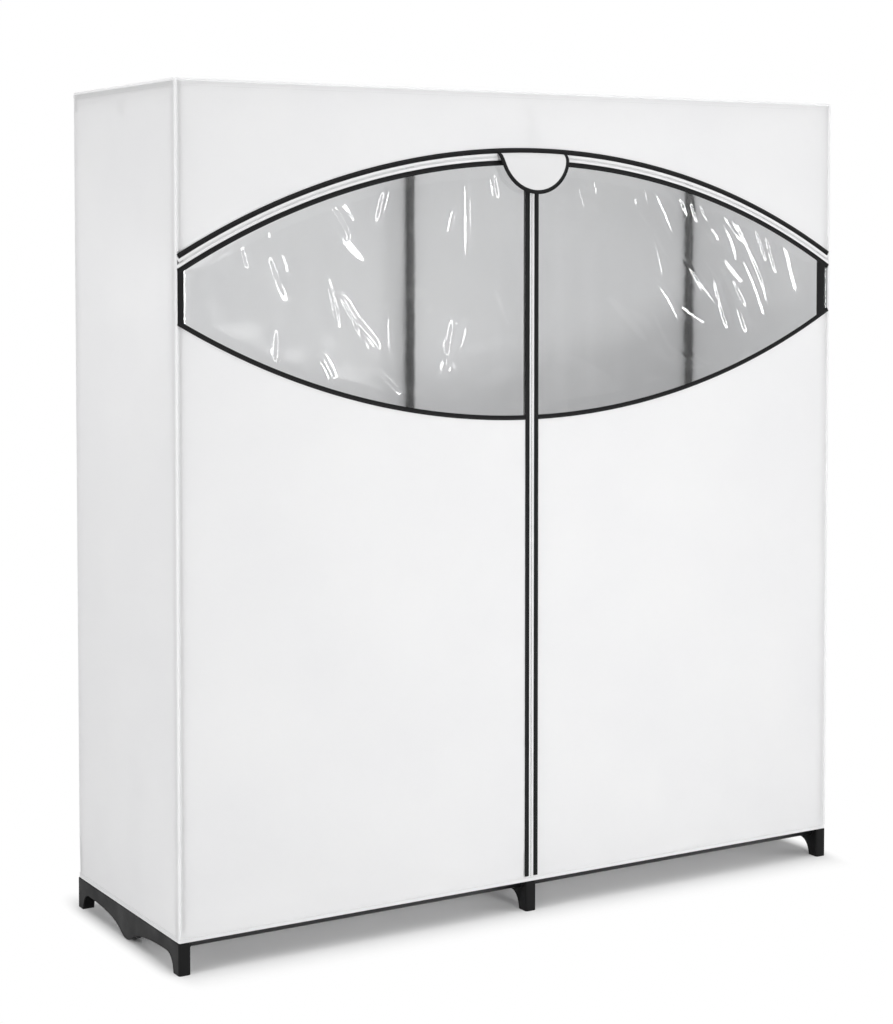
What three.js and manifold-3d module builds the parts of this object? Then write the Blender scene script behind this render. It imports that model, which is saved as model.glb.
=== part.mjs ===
// A portable fabric wardrobe: three resin bases, a frame of steel tubes with resin top rails, and a
// zipped cloth cover whose two doors meet under an arch. Millimetres, +Z up, the front faces -Y, and
// the origin is on the floor under the middle of the wardrobe.
import * as THREE from "three";
import { mergeVertices } from "three/addons/utils/BufferGeometryUtils.js";
import Module from "manifold-3d";

const wasm = await Module();
wasm.setup();

// Whole wardrobe
const width = 1524;
const depth = 495;
const height = 1626;
const seam = 0.3; // clearance wherever two pieces touch
const overrun = 2; // how far a joined or cutting shape runs past the face it meets

// Cloth, bindings, piping and hem
const clothThick = 1.2;
const bindingThick = 0.8;
const bindingWidth = 8.5;
const pipingRadius = 2.5;
const hemLow = 60.3;
const hemHeight = 9;
const hemInset = 0.4;
const frontHemRadius = 4;
const backCornerRadius = 8;
const backTopRadius = 15;
const bindingFoot = 1.4; // where the centre bindings stop above the hem

// The arch above the doors, its zips and the windows under it
const archCrownDrop = 111; // from the top of the wardrobe down to the crown of the arch
const archRadius = 1508;
const archZipWidth = 15;
const centreZipWidth = 12;
const coilSlot = 1.6;
const windowDrop = 532.5; // from the crown of the arch down to the foot of the windows
const windowRadius = 1530;
const windowBindingWidth = 8;
const leftEndBandWidth = 10.8;
const leftEndBandSetback = 0;
const rightEndBandWidth = 18.5;
const rightEndBandSetback = 9.7;

// Soft relief of the cloth
const doorFoldDepth = 4;
const doorFolds = 5;
const sideFoldDepth = 4;
const sideFolds = 3;
const backFoldDepth = 4;
const backFolds = 9;
const valanceFoldDepth = 1.5;
const valanceFolds = 6;
const topSag = 5;
const hemPullIn = 3;

// The half-round tab over the zip ends
const tabRadius = 81;
const tabBindingWidth = 8;
const tabBindingThick = 2;
const tabLift = 0.9;
const tabBulge = 12;
const tabBulgeRun = 8;
const tabLean = 0.1; // how far the tab comes forward for each unit that it hangs down

// Zip sliders and pulls
const sliderLength = 12;
const sliderWidth = 9;
const sliderThick = 1.2;
const sliderBackThick = 1;
const sliderNeckLength = 7;
const barRadius = 1.2;
const lugThick = 1.2;
const pullWidth = 6;
const pullEyeRadius = 2.3;
const pullLength = 26;
const pullThick = 1.2;
const centreSliderDrop = 53;
const archSliderOffset = 24;

// Steel tubes
const tubeRadius = 9.5;
const tubeWall = 0.8;
const rodRadius = 11;
const rodWall = 1;
const neckLength = 40;
const pegLength = 22;
const uprightSplit = 820;
const uprightSetback = 2.3;
const baseTubeSetback = 12;
const baseTubeAxis = 55.5;
const topTubeSetback = 12;

// Resin bases
const baseWidth = 24;
const baseHeight = 59;
const baseWall = 3;
const baseCornerRadius = 5;
const footDepth = 26;
const gussetRun = 31.5;
const archHeight = 34;
const pendantHalf = 34;
const pendantShoulder = 14;
const tipHalf = 12;
const tipLow = 3;
const socketFloor = 19;
const bossRadius = 12;
const bossLength = 5;

// Resin top rails
const railBar = 22;
const railBlock = 34;
const railBlockReach = 2; // how far a block reaches past its upright, towards the rod
const railEndRadius = 8;
const railGusset = 30;
const rodDrop = 40;
const rodEyeRadius = 16;
const rodEyeRun = 44;
const spigotLength = 30;

// Facets
const tubeSides = 14;
const pipingSides = 12;
const curveSteps = 7;
const cornerSteps = 4;
const columnsPerDoor = 16;
const sideColumns = 9;
const wallRows = 7;
const valanceRows = 3;
const topColumns = 12;
const tabColumns = 14;
const tabRows = 6;
const tabRimSteps = 30;
const halfCircle = Math.PI;
const quarterCircle = Math.PI / 2;

// Places that follow from the sizes above
const clothInset = bindingThick + seam;
const frontFace = -depth / 2;
const clothFront = frontFace + clothInset;
const clothInner = depth / 2 - clothInset - clothThick;
const sideOuter = width / 2 - clothInset;
const pipingAxisX = width / 2 - pipingRadius;
const pipingAxisY = depth / 2 - pipingRadius;
const pipingAxisZ = height - pipingRadius;
const insidePiping = 2 * pipingRadius + seam;
const doorEdge = width / 2 - insidePiping;
const coverTop = height - insidePiping;
const coverLow = hemLow + hemHeight + seam;
const tubeBore = tubeRadius - tubeWall;
const pegRadius = tubeBore - seam;
const uprightX = sideOuter - clothThick - seam - tubeRadius;
const uprightY = clothInner - uprightSetback - tubeRadius;
const archCrown = height - archCrownDrop;
const archCentre = archCrown - archRadius;
const archUpperInner = archRadius - bindingWidth;
const archCoil = archUpperInner - archZipWidth / 2;
const archLowerOuter = archUpperInner - archZipWidth;
const archLowerInner = archLowerOuter - bindingWidth;
const archUpperSeam = archRadius - bindingWidth / 2;
const archLowerSeam = archLowerOuter - bindingWidth / 2;
const windowLow = archCrown - windowDrop;
const windowCentre = windowLow + windowRadius;
const windowInner = windowRadius - windowBindingWidth;
const windowSeam = windowRadius - windowBindingWidth / 2;
const centreBindingInner = centreZipWidth / 2;
const centreBindingOuter = centreBindingInner + bindingWidth;
const centreSeam = centreBindingInner + bindingWidth / 2;
const railTop = coverTop - seam;
const rodAxis = railTop - rodDrop;
const railUnderBlock = railTop - railBlock;

const cloth = new THREE.MeshStandardMaterial({ color: 0xececec, roughness: 0.85, metalness: 0 });
const tape = new THREE.MeshStandardMaterial({ color: 0xe4e4e4, roughness: 0.8, metalness: 0 });
const binding = new THREE.MeshStandardMaterial({ color: 0x242424, roughness: 0.75, metalness: 0 });
const vinyl = new THREE.MeshStandardMaterial({
  color: 0xe6eaec,
  roughness: 0.15,
  metalness: 0,
  transparent: true,
  opacity: 0.3,
});
const resin = new THREE.MeshStandardMaterial({ color: 0x2d2d2d, roughness: 0.55, metalness: 0 });
const steel = new THREE.MeshStandardMaterial({ color: 0x262626, roughness: 0.4, metalness: 0.5 });
const zipMetal = new THREE.MeshStandardMaterial({ color: 0xdadada, roughness: 0.4, metalness: 0.6 });

const wardrobe = new THREE.Group();
const frame = new THREE.Group();
const cover = new THREE.Group();
const leftDoor = new THREE.Group();
const rightDoor = new THREE.Group();
const tab = new THREE.Group();
wardrobe.add(frame, cover, leftDoor, rightDoor, tab);

function place(name, geometry, material, parent, x = 0, y = 0, z = 0) {
  const mesh = new THREE.Mesh(geometry, material);
  mesh.name = name;
  mesh.position.set(x, y, z);
  parent.add(mesh);
}

// Joining and cutting
function solid(geometry) {
  const bare = new THREE.BufferGeometry().setAttribute("position", geometry.getAttribute("position"));
  if (geometry.index) bare.setIndex(geometry.index);
  const merged = mergeVertices(bare);
  return new wasm.Manifold(
    new wasm.Mesh({
      numProp: 3,
      vertProperties: new Float32Array(merged.attributes.position.array),
      triVerts: new Uint32Array(merged.index.array),
    }),
  );
}

function shapeOf(made) {
  const mesh = made.getMesh();
  const geometry = new THREE.BufferGeometry();
  geometry.setAttribute("position", new THREE.BufferAttribute(mesh.vertProperties, mesh.numProp));
  return geometry.setIndex(new THREE.BufferAttribute(mesh.triVerts, 1));
}

function join(pieces) {
  return pieces.map(solid).reduce((sum, piece) => sum.add(piece));
}

// Round and extruded shapes
function box(x0, x1, y0, y1, z0, z1) {
  const geometry = new THREE.BoxGeometry(x1 - x0, y1 - y0, z1 - z0);
  return geometry.translate((x0 + x1) / 2, (y0 + y1) / 2, (z0 + z1) / 2);
}

function rodAlongX(radius, x0, x1, y, z, sides = tubeSides) {
  const geometry = new THREE.CylinderGeometry(radius, radius, x1 - x0, sides);
  return geometry.rotateZ(quarterCircle).translate((x0 + x1) / 2, y, z);
}

function rodAlongY(radius, y0, y1, x, z, sides = tubeSides) {
  const geometry = new THREE.CylinderGeometry(radius, radius, y1 - y0, sides);
  return geometry.translate(x, (y0 + y1) / 2, z);
}

function rodAlongZ(radius, z0, z1, x, y, sides = tubeSides) {
  const geometry = new THREE.CylinderGeometry(radius, radius, z1 - z0, sides);
  return geometry.rotateX(quarterCircle).translate(x, y, (z0 + z1) / 2);
}

// A hollow turned piece along its own Y axis: the points run once round the wall's section.
function turned(points) {
  const section = points.map(([radius, along]) => new THREE.Vector2(radius, along));
  return new THREE.LatheGeometry([...section, section[0]], tubeSides);
}

function hollowTube(outer, wall, length) {
  const inner = outer - wall;
  return turned([
    [outer, 0],
    [outer, length],
    [inner, length],
    [inner, 0],
  ]);
}

// An outline in the Y-Z plane, given a thickness along X about the middle.
function sidePlate(outline, thickness, steps = curveSteps) {
  const geometry = new THREE.ExtrudeGeometry(outline, {
    depth: thickness,
    bevelEnabled: false,
    curveSegments: steps,
  });
  const turn = new THREE.Matrix4().makeBasis(
    new THREE.Vector3(0, 1, 0),
    new THREE.Vector3(0, 0, 1),
    new THREE.Vector3(1, 0, 0),
  );
  return geometry.translate(0, 0, -thickness / 2).applyMatrix4(turn);
}

// A rectangle with round corners in the X-Y plane.
function roundedOutline(halfX, halfY, frontRadius, rearRadius, shape) {
  shape.moveTo(-halfX + frontRadius, -halfY);
  shape.lineTo(halfX - frontRadius, -halfY);
  shape.absarc(halfX - frontRadius, -halfY + frontRadius, frontRadius, -quarterCircle, 0);
  shape.absarc(halfX - rearRadius, halfY - rearRadius, rearRadius, 0, quarterCircle);
  shape.absarc(-halfX + rearRadius, halfY - rearRadius, rearRadius, quarterCircle, halfCircle);
  shape.absarc(-halfX + frontRadius, -halfY + frontRadius, frontRadius, halfCircle, 3 * quarterCircle);
  return shape;
}

function raised(outline, z0, z1) {
  const geometry = new THREE.ExtrudeGeometry(outline, {
    depth: z1 - z0,
    bevelEnabled: false,
    curveSegments: cornerSteps,
  });
  return geometry.translate(0, 0, z0);
}

// A closed sheet on a grid. corner(column, row) gives the outer and the inner point; columns run to
// the right and rows run up as they are seen from outside.
function sheet(columns, rows, corner) {
  const across = columns + 1;
  const layer = across * (rows + 1);
  const outerPoints = [];
  const innerPoints = [];
  for (let row = 0; row <= rows; row++) {
    for (let column = 0; column <= columns; column++) {
      const [outerPoint, innerPoint] = corner(column, row);
      outerPoints.push(...outerPoint);
      innerPoints.push(...innerPoint);
    }
  }
  const outer = (column, row) => row * across + column;
  const inner = (column, row) => layer + outer(column, row);
  const faces = [];
  const quad = (a, b, c, d) => faces.push(a, b, c, a, c, d);
  for (let row = 0; row < rows; row++) {
    for (let column = 0; column < columns; column++) {
      const next = column + 1;
      const above = row + 1;
      quad(outer(column, row), outer(next, row), outer(next, above), outer(column, above));
      quad(inner(column, row), inner(column, above), inner(next, above), inner(next, row));
    }
    quad(outer(0, row), outer(0, row + 1), inner(0, row + 1), inner(0, row));
    quad(outer(columns, row), inner(columns, row), inner(columns, row + 1), outer(columns, row + 1));
  }
  for (let column = 0; column < columns; column++) {
    const next = column + 1;
    quad(outer(column, 0), inner(column, 0), inner(next, 0), outer(next, 0));
    quad(outer(column, rows), outer(next, rows), inner(next, rows), inner(column, rows));
  }
  const geometry = new THREE.BufferGeometry();
  const points = new Float32Array([...outerPoints, ...innerPoints]);
  geometry.setAttribute("position", new THREE.BufferAttribute(points, 3));
  return geometry.setIndex(faces);
}

function line(from, to, steps) {
  const at = (share) => from.map((start, axis) => start + (to[axis] - start) * share);
  return Array.from({ length: steps + 1 }, (_, step) => at(step / steps));
}

function arc(centre, radius, from, to, steps) {
  const at = (angle) => [centre[0] + radius * Math.cos(angle), centre[1] + radius * Math.sin(angle)];
  return Array.from({ length: steps + 1 }, (_, step) => at(from + ((to - from) * step) / steps));
}

// The direction out of a sheet at each point of the line that it follows.
function outwards(run) {
  return run.map((_, step) => {
    const [x0, y0] = run[Math.max(step - 1, 0)];
    const [x1, y1] = run[Math.min(step + 1, run.length - 1)];
    const length = Math.hypot(x1 - x0, y1 - y0);
    return [(y1 - y0) / length, (x0 - x1) / length];
  });
}

// A sheet that stands on the plan line run. low and high give its two edges over a point of the line,
// and relief says how far it dips inwards, from the shares of its length and height, and from x.
function curtain({ run, low, high, rows = 1, thickness = clothThick, relief = () => 0 }) {
  const normals = outwards(run);
  const columns = run.length - 1;
  return sheet(columns, rows, (column, row) => {
    const [x, y] = run[column];
    const [nx, ny] = normals[column];
    const z = low(x) + (high(x) - low(x)) * (row / rows);
    const dip = relief(column / columns, row / rows, x);
    const reach = dip + thickness;
    return [
      [x - nx * dip, y - ny * dip, z],
      [x - nx * reach, y - ny * reach, z],
    ];
  });
}

// The edges that the front pieces share
const archEdge = (radius) => (x) => archCentre + Math.sqrt(radius * radius - x * x);
const windowEdge = (radius) => (x) => windowCentre - Math.sqrt(radius * radius - x * x);
const level = (z) => () => z;

function frontPiece({ from, to, columns, face = clothFront, ...rest }) {
  return curtain({ run: line([from, face], [to, face], columns), ...rest });
}

// Faint folds: they fade to nothing at both ends and grow towards one edge.
function folds(depthOfFold, count, fade) {
  return (along, up) => {
    const ends = Math.sin(halfCircle * along) ** 2;
    const wave = (1 - Math.cos(2 * halfCircle * count * along)) / 2;
    return depthOfFold * ends * wave * fade(up);
  };
}

// Resin base: two plates with a pair of arches between the feet, joined by a web and the feet
function halfArchPoints(shape, side) {
  const footInner = depth / 2 - footDepth;
  const archStart = footInner - gussetRun;
  const gussetSideShare = 0.08;
  const gussetRiseShare = 0.55;
  const gussetTurnShare = 0.35;
  const archFarShare = 0.32;
  const archNearShare = 0.18;
  const archDropShare = 0.2;
  const archSpan = archStart - pendantHalf;
  const points = [
    [footInner, 0],
    [footInner - gussetRun * gussetSideShare, archHeight * gussetRiseShare],
    [footInner - gussetRun * gussetTurnShare, archHeight],
    [archStart, archHeight],
    [archStart - archSpan * archFarShare, archHeight],
    [pendantHalf + archSpan * archNearShare, archHeight - (archHeight - pendantShoulder) * archDropShare],
    [pendantHalf, pendantShoulder],
    [(pendantHalf + tipHalf) / 2, pendantShoulder / 2],
    [tipHalf, tipLow],
  ];
  const ordered = side < 0 ? points : points.toReversed();
  const [start, ...rest] = ordered.map(([y, z]) => [y * side, z]);
  shape.lineTo(...start);
  const bends = side < 0 ? [3, 3, 2] : [2, 3, 3];
  for (const count of bends) {
    const bend = rest.splice(0, count).flat();
    if (count === 3) shape.bezierCurveTo(...bend);
    else shape.quadraticCurveTo(...bend);
  }
}

function baseOutline() {
  const half = depth / 2;
  const shape = new THREE.Shape();
  shape.moveTo(-half, 0);
  halfArchPoints(shape, -1);
  shape.quadraticCurveTo(0, 0, tipHalf, tipLow);
  halfArchPoints(shape, 1);
  shape.lineTo(half, 0);
  shape.lineTo(half, baseHeight);
  shape.lineTo(-half, baseHeight);
  return shape;
}

const baseX = width / 2 - baseWidth / 2;
const baseTubeY = depth / 2 - baseTubeSetback - tubeRadius;

function resinBase(centre, inward) {
  const half = baseWidth / 2;
  const plateShift = half - baseWall / 2;
  const footInner = depth / 2 - footDepth;
  const outline = baseOutline();
  const plates = [-plateShift, plateShift].map((x) => sidePlate(outline, baseWall).translate(x, 0, 0));
  const web = box(-half, half, frontFace, -frontFace, baseHeight - baseWall, baseHeight);
  const feet = [
    box(-half, half, frontFace, -footInner, 0, baseHeight),
    box(-half, half, footInner, -frontFace, 0, baseHeight),
  ];
  const plan = roundedOutline(half, depth / 2, baseCornerRadius, baseCornerRadius, new THREE.Shape());
  const body = join([...plates, web, ...feet]).intersect(solid(raised(plan, 0, baseHeight)));
  const bosses = inward.flatMap((side) =>
    [-baseTubeY, baseTubeY].flatMap((y) => {
      const face = side * (half - overrun);
      const shoulder = side * (half + bossLength);
      const end = side * (half + bossLength + pegLength);
      return [
        rodAlongX(bossRadius, Math.min(face, shoulder), Math.max(face, shoulder), y, baseTubeAxis),
        rodAlongX(pegRadius, Math.min(face, end), Math.max(face, end), y, baseTubeAxis),
      ];
    }),
  );
  const uprightShift = Math.sign(centre) * uprightX - centre;
  const sockets = [-uprightY, uprightY].map((y) =>
    rodAlongZ(tubeRadius + seam, socketFloor, baseHeight + overrun, uprightShift, y),
  );
  return shapeOf(body.add(join(bosses)).subtract(join(sockets)));
}

const sides = [
  { name: "left", base: -baseX, upright: -uprightX, inward: [1] },
  { name: "middle", base: 0, upright: 0, inward: [-1, 1] },
  { name: "right", base: baseX, upright: uprightX, inward: [-1] },
];
for (const side of sides) {
  place(side.name + "_base", resinBase(side.base, side.inward), resin, frame, side.base);
}

// Resin top rail: end blocks that plug into the uprights, and an eye that carries the hanging rod
const topTubeY = depth / 2 - topTubeSetback - tubeRadius;
const topTubeAxis = height - clothInset - clothThick - seam - tubeRadius;

function railOutline() {
  const end = uprightY + tubeRadius;
  const blockInner = end - 2 * tubeRadius - railBlockReach;
  const barLow = railTop - railBar;
  const gussetFoot = blockInner - railGusset;
  const shape = new THREE.Shape();
  shape.moveTo(end, railUnderBlock);
  shape.lineTo(end, railTop - railEndRadius);
  shape.absarc(end - railEndRadius, railTop - railEndRadius, railEndRadius, 0, quarterCircle);
  shape.lineTo(-end + railEndRadius, railTop);
  shape.absarc(-end + railEndRadius, railTop - railEndRadius, railEndRadius, quarterCircle, halfCircle);
  shape.lineTo(-end, railUnderBlock);
  shape.lineTo(-blockInner, railUnderBlock);
  shape.quadraticCurveTo(-blockInner, barLow, -gussetFoot, barLow);
  shape.lineTo(-rodEyeRun, barLow);
  shape.quadraticCurveTo(-rodEyeRadius, barLow, -rodEyeRadius, rodAxis);
  shape.absarc(0, rodAxis, rodEyeRadius, halfCircle, 2 * halfCircle);
  shape.quadraticCurveTo(rodEyeRadius, barLow, rodEyeRun, barLow);
  shape.lineTo(gussetFoot, barLow);
  shape.quadraticCurveTo(blockInner, barLow, blockInner, railUnderBlock);
  return shape;
}

function resinRail(inward) {
  const half = tubeRadius;
  const end = uprightY + tubeRadius;
  const plan = roundedOutline(half, end, half - seam, half - seam, new THREE.Shape());
  const bar = solid(sidePlate(railOutline(), 2 * half, cornerSteps));
  const body = bar.intersect(solid(raised(plan, rodAxis - 2 * rodEyeRadius, height)));
  const pegs = inward.flatMap((side) => {
    const x = [side * (half - overrun), side * (half + pegLength)].sort((a, b) => a - b);
    return [
      rodAlongX(pegRadius, ...x, -topTubeY, topTubeAxis),
      rodAlongX(pegRadius, ...x, topTubeY, topTubeAxis),
      rodAlongX(rodRadius - rodWall - seam, ...x, 0, rodAxis),
    ];
  });
  const spigots = [-uprightY, uprightY].map((y) =>
    rodAlongZ(pegRadius, railUnderBlock - spigotLength, railUnderBlock + overrun, 0, y),
  );
  return shapeOf(body.add(join([...pegs, ...spigots])));
}

for (const side of sides) {
  place(side.name + "_top_rail", resinRail(side.inward), resin, frame, side.upright);
}

// Uprights: each is a lower tube, and an upper tube whose neck plugs into it
const lowerUprightFoot = socketFloor + seam;
const upperUprightFoot = uprightSplit + seam;
const upperUprightTop = railUnderBlock - seam;

function upperUpright() {
  const neckInner = pegRadius - tubeWall;
  const length = upperUprightTop - upperUprightFoot;
  return turned([
    [tubeRadius, 0],
    [tubeRadius, length],
    [tubeBore, length],
    [tubeBore, neckLength],
    [neckInner, tubeWall],
    [neckInner, -neckLength],
    [pegRadius, -neckLength],
    [pegRadius, 0],
  ]);
}

for (const side of sides) {
  for (const [end, y] of [["front", -uprightY], ["rear", uprightY]]) {
    const lower = hollowTube(tubeRadius, tubeWall, uprightSplit - lowerUprightFoot).rotateX(quarterCircle);
    const upper = upperUpright().rotateX(quarterCircle);
    const name = side.name + "_" + end;
    place(name + "_lower_upright", lower, steel, frame, side.upright, y, lowerUprightFoot);
    place(name + "_upper_upright", upper, steel, frame, side.upright, y, upperUprightFoot);
  }
}

// Tubes and hanging rods that span each bay
const bays = [
  { name: "left", side: -1 },
  { name: "right", side: 1 },
];
const baseBay = [baseWidth / 2 + bossLength + seam, baseX - baseWidth / 2 - bossLength - seam];
const topBay = [tubeRadius + seam, uprightX - tubeRadius - seam];

function spanTube(name, bay, side, radius, wall, y, z) {
  const geometry = hollowTube(radius, wall, bay[1] - bay[0]).rotateZ(-quarterCircle);
  const start = side < 0 ? -bay[1] : bay[0];
  place(name, geometry, steel, frame, start, y, z);
}

for (const { name, side } of bays) {
  spanTube(name + "_front_base_tube", baseBay, side, tubeRadius, tubeWall, -baseTubeY, baseTubeAxis);
  spanTube(name + "_rear_base_tube", baseBay, side, tubeRadius, tubeWall, baseTubeY, baseTubeAxis);
  spanTube(name + "_front_top_tube", topBay, side, tubeRadius, tubeWall, -topTubeY, topTubeAxis);
  spanTube(name + "_rear_top_tube", topBay, side, tubeRadius, tubeWall, topTubeY, topTubeAxis);
  spanTube(name + "_hanging_rod", topBay, side, rodRadius, rodWall, 0, rodAxis);
}

// Side walls, with soft folds that grow towards the hem
const sideFront = -(depth / 2 - insidePiping);
const backCornerStart = depth / 2 - clothInset - backCornerRadius;
const sideBack = backCornerStart - seam;
const towardsHem = (up) => (1 - up) ** 2;
const sideRelief = (along, up) => {
  const pullIn = hemPullIn * Math.sin(halfCircle * along) ** 2 * (1 - up) ** 6;
  return folds(sideFoldDepth, sideFolds, towardsHem)(along, up) + pullIn;
};
const leftRun = line([-sideOuter, sideBack], [-sideOuter, sideFront], sideColumns);
const rightRun = line([sideOuter, sideFront], [sideOuter, sideBack], sideColumns);
for (const [name, run] of [["left_side_panel", leftRun], ["right_side_panel", rightRun]]) {
  const wall = { run, low: level(coverLow), high: level(coverTop), rows: wallRows, relief: sideRelief };
  place(name, curtain(wall), cloth, cover);
}

// Back wall, with a round fold at each corner
const backY = depth / 2 - clothInset;
const backFoldX = sideOuter - backCornerRadius;
const backRun = [
  ...arc([backFoldX, backCornerStart], backCornerRadius, 0, quarterCircle, cornerSteps),
  ...line([backFoldX, backY], [-backFoldX, backY], 2 * backFolds).slice(1, -1),
  ...arc([-backFoldX, backCornerStart], backCornerRadius, quarterCircle, halfCircle, cornerSteps),
];
const betweenUprights = (x) => Math.sin((halfCircle * x) / uprightX) ** 2;
const backRelief = (along, up, x) => {
  const wave = Math.cos((halfCircle * backFolds * x) / uprightX) ** 2;
  return backFoldDepth * betweenUprights(x) * wave * Math.sin(halfCircle * up);
};
const backHigh = height - clothInset - backTopRadius - seam;
place(
  "back_panel",
  curtain({ run: backRun, low: level(coverLow), high: level(backHigh), rows: wallRows, relief: backRelief }),
  cloth,
  cover,
);

// Top, which sags a little in each bay and folds down round the rear edge
const topFace = height - clothInset;
const topFold = depth / 2 - clothInset - backTopRadius;
const topSagEdge = topTubeY - tubeRadius;
const topProfile = [
  [sideFront, topFace],
  ...line([-topSagEdge, topFace], [topSagEdge, topFace], curveSteps),
  [topFold, topFace],
  ...arc([topFold, topFace - backTopRadius], backTopRadius, quarterCircle, 0, cornerSteps).slice(1),
];
const topNormals = outwards(topProfile).map(([y, z]) => [-y, -z]);
place(
  "top_panel",
  sheet(topColumns, topProfile.length - 1, (column, row) => {
    const x = doorEdge * ((2 * column) / topColumns - 1);
    const [y, z] = topProfile[row];
    const [ny, nz] = topNormals[row];
    const between = Math.max(0, 1 - (y / topSagEdge) ** 2);
    const sag = topSag * Math.sin((halfCircle * x) / doorEdge) ** 2 * between;
    return [
      [x, y, z - sag],
      [x, y - ny * clothThick, z - nz * clothThick - sag],
    ];
  }),
  cloth,
  cover,
);

// Valance above the arch, in two halves that meet over the tab, with the upper half of the arch zip
// and its binding
const valanceRelief = (along, up, x) => {
  const wave = Math.cos((halfCircle * valanceFolds * x) / uprightX) ** 2;
  return valanceFoldDepth * betweenUprights(x) * wave * Math.sin(halfCircle * up) ** 2;
};
for (const [name, from, to] of [["left", -doorEdge, -seam / 2], ["right", seam / 2, doorEdge]]) {
  const half = frontPiece({
    from,
    to,
    columns: columnsPerDoor,
    rows: valanceRows,
    low: archEdge(archUpperSeam + seam / 2),
    high: level(coverTop),
    relief: valanceRelief,
  });
  place(name + "_front_valance", half, cloth, cover);
}
place(
  "arch_upper_zip_tape",
  frontPiece({
    from: -doorEdge,
    to: doorEdge,
    columns: 2 * columnsPerDoor,
    low: archEdge(archCoil + coilSlot / 2),
    high: archEdge(archUpperSeam - seam / 2),
  }),
  tape,
  cover,
);
place(
  "arch_upper_binding",
  frontPiece({
    from: -doorEdge,
    to: doorEdge,
    columns: 2 * columnsPerDoor,
    face: frontFace,
    thickness: bindingThick,
    low: archEdge(archUpperInner),
    high: archEdge(archRadius),
  }),
  binding,
  cover,
);

// Piping along the two front corners, the top front edge and the two top side edges
const pipingEndY = topFold;
const pipingFoot = coverLow;
place(
  "edge_piping",
  shapeOf(
    join([
      rodAlongX(pipingRadius, -pipingAxisX, pipingAxisX, -pipingAxisY, pipingAxisZ, pipingSides),
      ...[-pipingAxisX, pipingAxisX].flatMap((x) => [
        rodAlongZ(pipingRadius, pipingFoot, pipingAxisZ, x, -pipingAxisY, pipingSides),
        rodAlongY(pipingRadius, -pipingAxisY, pipingEndY, x, pipingAxisZ, pipingSides),
        new THREE.SphereGeometry(pipingRadius, pipingSides, pipingSides / 2)
          .rotateX(quarterCircle)
          .translate(x, -pipingAxisY, pipingAxisZ),
      ]),
    ]),
  ),
  cloth,
  cover,
);

// Hem: one folded band round the foot of the cover
const hemOuterX = width / 2 - hemInset;
const hemOuterY = depth / 2 - hemInset;
const hemThick = clothInset + clothThick - hemInset;
const hemOutline = roundedOutline(hemOuterX, hemOuterY, frontHemRadius, backCornerRadius, new THREE.Shape());
hemOutline.holes.push(
  roundedOutline(
    hemOuterX - hemThick,
    hemOuterY - hemThick,
    frontHemRadius - hemThick,
    backCornerRadius - hemThick,
    new THREE.Path(),
  ),
);
place("hem_band", raised(hemOutline, hemLow, hemLow + hemHeight), cloth, cover);

// Door: cloth below, clear window above, bindings on their seams and the door's halves of the zips
function endBand(side) {
  return side < 0
    ? { bandWidth: leftEndBandWidth, setback: leftEndBandSetback }
    : { bandWidth: rightEndBandWidth, setback: rightEndBandSetback };
}

function windowBinding(side) {
  const { bandWidth, setback } = endBand(side);
  const inner = centreBindingOuter + seam;
  const border = frontPiece({
    from: side < 0 ? -doorEdge : inner,
    to: side < 0 ? -inner : doorEdge,
    columns: columnsPerDoor,
    face: frontFace,
    thickness: bindingThick,
    low: windowEdge(windowRadius),
    high: windowEdge(windowInner),
  });
  const bandOuter = doorEdge - setback;
  const bandEdges = [side * bandOuter, side * (bandOuter - bandWidth)].sort((a, b) => a - b);
  const band = frontPiece({
    from: bandEdges[0],
    to: bandEdges[1],
    columns: 2,
    face: frontFace,
    thickness: bindingThick,
    low: windowEdge(windowSeam),
    high: archEdge(archLowerInner - seam),
  });
  return shapeOf(join([border, band]));
}

function door(name, side, parent) {
  const span = (inner) => (side < 0 ? { from: -doorEdge, to: -inner } : { from: inner, to: doorEdge });
  const strip = (inner, outer) => (side < 0 ? { from: -outer, to: -inner } : { from: inner, to: outer });
  const nearSeam = centreSeam + seam / 2;
  place(
    name + "_door_cloth",
    frontPiece({
      ...span(nearSeam),
      columns: columnsPerDoor,
      rows: wallRows,
      low: level(coverLow),
      high: windowEdge(windowSeam + seam / 2),
      relief: folds(doorFoldDepth, doorFolds, towardsHem),
    }),
    cloth,
    parent,
  );
  place(
    name + "_window",
    frontPiece({
      ...span(nearSeam),
      columns: columnsPerDoor,
      low: windowEdge(windowSeam - seam / 2),
      high: archEdge(archLowerSeam - seam / 2),
    }),
    vinyl,
    parent,
  );
  place(name + "_window_binding", windowBinding(side), binding, parent);
  place(
    name + "_arch_binding",
    frontPiece({
      ...span(centreBindingInner),
      columns: columnsPerDoor,
      face: frontFace,
      thickness: bindingThick,
      low: archEdge(archLowerInner),
      high: archEdge(archLowerOuter),
    }),
    binding,
    parent,
  );
  place(
    name + "_centre_binding",
    frontPiece({
      ...strip(centreBindingInner, centreBindingOuter),
      columns: 1,
      face: frontFace,
      thickness: bindingThick,
      low: level(coverLow + bindingFoot),
      high: archEdge(archLowerInner - seam),
    }),
    binding,
    parent,
  );
  place(
    name + "_arch_zip_tape",
    frontPiece({
      ...span(coilSlot / 2),
      columns: columnsPerDoor,
      low: archEdge(archLowerSeam + seam / 2),
      high: archEdge(archCoil - coilSlot / 2),
    }),
    tape,
    parent,
  );
  place(
    name + "_centre_zip_tape",
    frontPiece({
      ...strip(coilSlot / 2, centreSeam - seam / 2),
      columns: 1,
      low: level(coverLow),
      high: archEdge(archLowerSeam - seam / 2),
    }),
    tape,
    parent,
  );
}
door("left", -1, leftDoor);
door("right", 1, rightDoor);

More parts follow.
